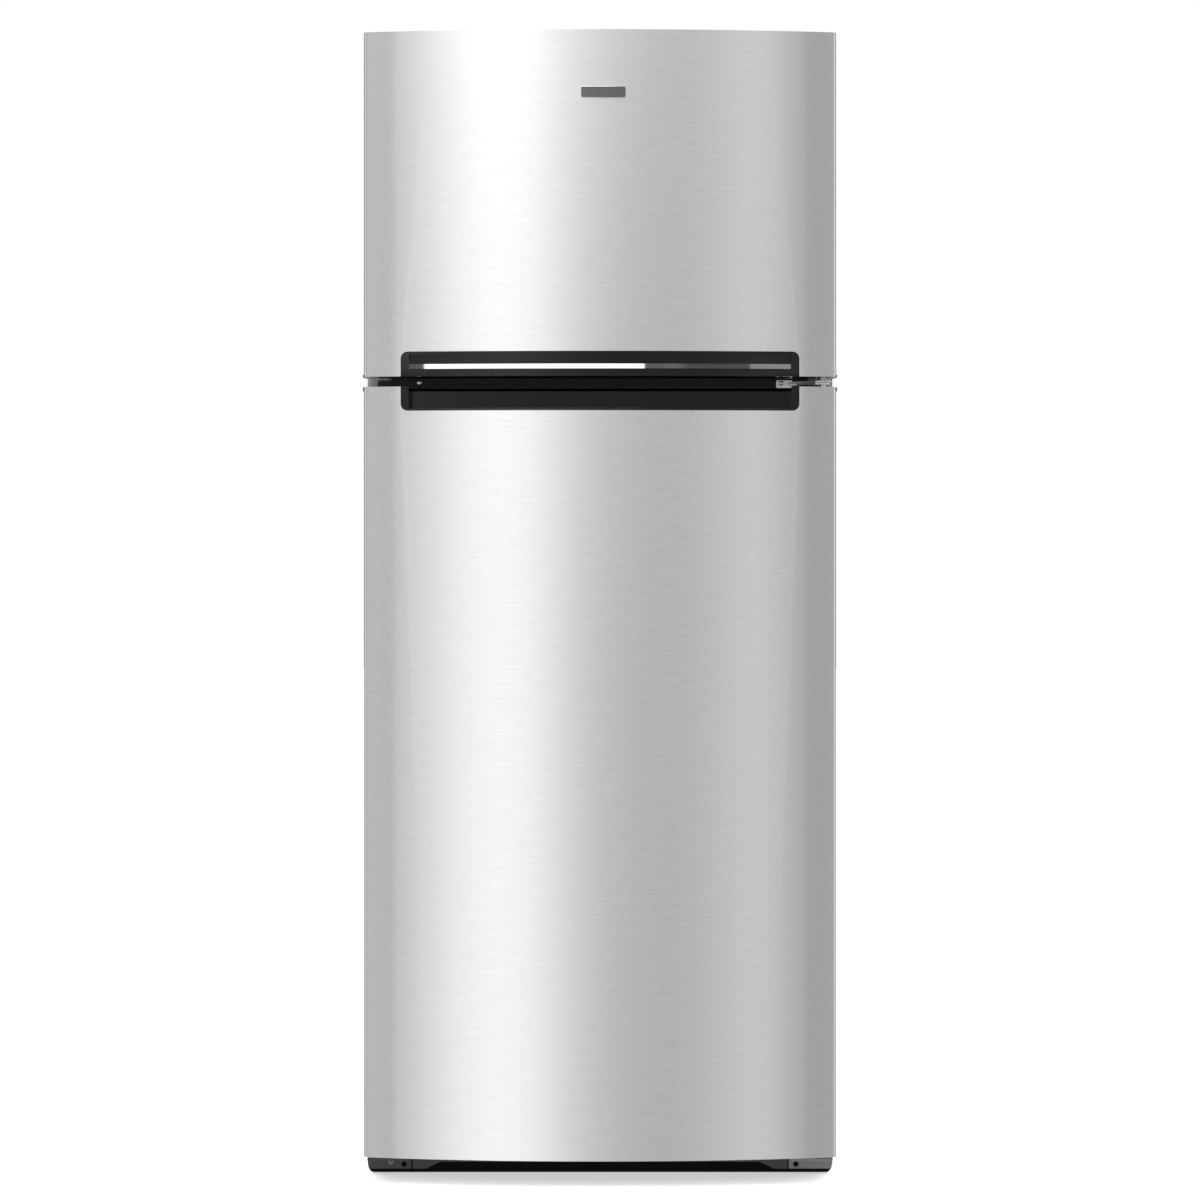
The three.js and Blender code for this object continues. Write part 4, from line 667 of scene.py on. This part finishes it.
def refrigerant_pipes():
    """Copper from the compressor to the condenser and up to the evaporator, with the filter drier."""
    low, high = box_mm("compressor")
    x, y = (low.x + high.x) / 2, (low.y + high.y) / 2
    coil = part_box("condenser")[0] / MM
    out = [(x + 70, y + 10, 110), (x + 92, y + 12, 112), (x + 100, y + 40, 80), (x + 130, y + 66, 52)]
    out += [(coil.x - 40, y + 70, 48), (coil.x - 6, y + 62, 60)]
    tube("discharge_pipe", out, 2.4, COPPER, "cabinet")
    back = [(x - 40, y + 64, 96), (x - 44, y + 84, 100), (x - 60, y + 86, 150), (x - 70, y + 80, 232)]
    tube("suction_pipe", back, 3.2, COPPER, "cabinet")
    stub = [(x + 20, y + 72, 84), (x + 22, y + 84, 86), (x + 24, y + 86, 104), (x + 24, y + 86, 128)]
    tube("process_pipe", stub, 2.4, COPPER, "cabinet")
    bm = bmesh.new()
    shape = [(2.2, -42), (3, -34), (9, -26), (9.4, -24), (9.4, 24), (9, 26), (3, 34), (2.2, 42)]
    turn(bm, shape, (x + 150, y + 78, 150), (0.2, 0, 1))
    extra("filter_drier", bm, COPPER, "cabinet")


def inside():
    """The fittings of both rooms, and the evaporator behind its cover."""
    soften("evaporator", ALUMINIUM, 0)
    soften("evaporator_cover", WHITE, 0.6)
    soften("evaporator_fan_motor", DARK_PAINT, 0.5)
    soften("evaporator_fan", MATTE_BLACK, 0.4)
    soften("freezer_shelf", COATED_WIRE, 0.5)
    soften("control_housing", WHITE, 1.5, 3)
    for node in ("freezer_knob", "fridge_knob"):
        soften(node, DARK_GREY, 0.8)
    soften("door_switch", WHITE, 0.8)
    front_trim, rear_trim = 12.5, 9.5  # how far the white strips on a glass shelf reach over it
    for node in ("upper_shelf", "lower_shelf"):
        low, high = box_mm(node)
        trims = lambda m, low=low, high=high: m.y < low.y + front_trim or m.y > high.y - rear_trim
        soften(node, GLASS, 0.5, second=WHITE, where=trims)
    low, high = box_mm("crisper_cover")
    rail_depth, pane_low = 18.5, 9  # the front rail from its face, and the pane's underside from the top
    rails = lambda m: m.y < low.y + rail_depth or m.z < high.z - pane_low
    soften("crisper_cover", GLASS, 0.6, second=WHITE, where=rails)
    lamp_and_dials()
    for node in ("left_crisper", "right_crisper"):
        soften(node, CLEAR, 1.0)
    for node in ("left_humidity_slide", "right_humidity_slide"):
        soften(node, WHITE, 0.4)


def lamp_and_dials():
    """A frosted lamp lens between the dials, and raised marks round each."""
    low, high = box_mm("control_housing")
    bm = bmesh.new()
    rounded_slab(bm, (-42, 42), (low.z + 9, high.z - 14), 6, "y", low.y - 0.9, low.y + 0.5)
    extra("lamp_lens", bm, LENS, "cabinet", 0.6, 3)
    bm = bmesh.new()
    steps = 8
    half_width = 0.45
    for node in ("freezer_knob", "fridge_knob"):
        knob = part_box(node)
        centre = (knob[0] + knob[1]) / 2 / MM
        reach = (knob[1].x - knob[0].x) / 2 / MM + 3
        for i in range(steps + 1):
            angle = math.radians(225 - 270 * i / steps)
            length = 1.4 + 1.4 * i / steps  # the marks grow with the setting
            out = Vector((math.cos(angle), math.sin(angle)))
            side = Vector((-math.sin(angle), math.cos(angle)))
            near, far = out * reach, out * (reach + length)
            half = side * half_width
            corners = [near - half, far - half, far + half, near + half]
            if abs(centre.z + corners[2].y - (low.z + high.z) / 2) < (high.z - low.z) / 2 - 2:
                outline = [(centre.x + c.x, centre.z + c.y) for c in corners]
                prism(bm, outline, "y", low.y - 0.25, low.y + 0.5)
    extra("dial_marks", bm, MATTE_BLACK, "cabinet")


def feet():
    """Levelling feet in front and rollers behind."""
    for node in ("left_foot", "right_foot"):
        soften(node, MATTE_BLACK, 0.5)
    for node in ("left_roller", "right_roller"):
        soften(node, WHITE_NYLON, 1.0)


doors()
cabinet()
machine_room()
inside()
feet()


# ---------------------------------------------------------------- studio
def make_floor():
    """A pale seamless floor, wide enough to pass under the camera."""
    reach = 14
    bm = bmesh.new()
    bmesh.ops.create_grid(bm, x_segments=1, y_segments=1, size=reach)
    mesh = bpy.data.meshes.new("floor")
    bm.to_mesh(mesh)
    bm.free()
    floor = bpy.data.objects.new("floor", mesh)
    scene.collection.objects.link(floor)
    # lit from below as well, so that shadows stay soft
    glow = {"Emission Color": (1, 1, 1, 1), "Emission Strength": 0.5}
    material, _, _ = surface("studio_floor", "fcfcfc", 0.9, **glow)
    mesh.materials.append(material)
    floor.visible_glossy = False  # the panels run on down to the floor in the doors


# Brightness all round, as (degrees to the right of straight ahead of the doors, level)
BEHIND = 0.35
ROOM = [(-180, BEHIND), (-118, BEHIND), (-100, 0.95), (-70, 0.95), (-50, 0.62), (-30, 0.8)]
ROOM += [(-19.8, 0.68), (-15, 1.26), (-10, 1.64), (-6.5, 1.52), (-2, 0.88), (3, 0.68), (8, 0.66)]
ROOM += [(12, 0.86), (15.8, 1.12), (18.3, 0.54), (24, 0.56), (60, 0.7), (75, 1.1), (100, 1.1)]
ROOM += [(118, BEHIND), (180, BEHIND)]
CEILING = 3.0  # how much brighter the room is overhead


def make_room():
    """Tall light panels in front of the doors, even from floor to ceiling.

    The camera itself sees plain white."""
    world = bpy.data.worlds.new("studio")
    scene.world = world
    world.use_nodes = True
    tree = world.node_tree
    tree.nodes.clear()
    place = add(tree, "ShaderNodeTexCoord")
    parts = add(tree, "ShaderNodeSeparateXYZ", {"Vector": place.outputs["Generated"]})
    ahead = add(tree, "ShaderNodeMath", {0: parts.outputs["Y"]}, {1: -1.0}, operation="MULTIPLY")
    links = {0: parts.outputs["X"], 1: ahead.outputs[0]}
    angle = add(tree, "ShaderNodeMath", links, operation="ARCTAN2")
    inputs = {"From Min": -math.pi, "From Max": math.pi}
    share = add(tree, "ShaderNodeMapRange", {"Value": angle.outputs[0]}, inputs)
    ramp = add(tree, "ShaderNodeValToRGB", {"Fac": share.outputs[0]})
    brightest = max(level for _, level in ROOM)
    inputs = {"From Min": 0.45, "From Max": 0.85, "To Min": 1.0, "To Max": CEILING}
    height = add(tree, "ShaderNodeMapRange", {"Value": parts.outputs["Z"]}, inputs)
    elements = ramp.color_ramp.elements
    while len(elements) < len(ROOM):
        elements.new(0.5)
    for element, (degrees, level) in zip(elements, ROOM):
        element.position = 0.5 + degrees / 360
        element.color = [level / brightest] * 3 + [1]
    links = {0: height.outputs[0]}
    strength = add(tree, "ShaderNodeMath", links, {1: brightest}, operation="MULTIPLY")
    links = {"Color": ramp.outputs["Color"], "Strength": strength.outputs[0]}
    panels = add(tree, "ShaderNodeBackground", links)
    plain = add(tree, "ShaderNodeBackground", inputs={"Color": (1, 1, 1, 1), "Strength": 1.0})
    path = add(tree, "ShaderNodeLightPath")
    links = {0: path.outputs["Is Camera Ray"], 1: panels.outputs[0], 2: plain.outputs[0]}
    both = add(tree, "ShaderNodeMixShader", links)
    add(tree, "ShaderNodeOutputWorld", {"Surface": both.outputs[0]})


def make_overhead_panel(name, x, width, brightness):
    """A ceiling panel in front of the doors, which the ledge of the upper grip shows."""
    depth = 1.5
    forward, up = -1.35, 3.5
    data = bpy.data.lights.new(name, "AREA")
    data.shape = "RECTANGLE"
    data.size, data.size_y = width, depth
    data.energy = math.pi * brightness * width * depth
    light = bpy.data.objects.new(name, data)
    light.location = (x, forward, up)
    light.visible_camera = False
    scene.collection.objects.link(light)


make_floor()
make_room()
make_overhead_panel("wide_overhead", -0.29, 0.97, 26)
make_overhead_panel("narrow_overhead", 0.78, 0.24, 4)
scene.view_settings.view_transform = "Standard"
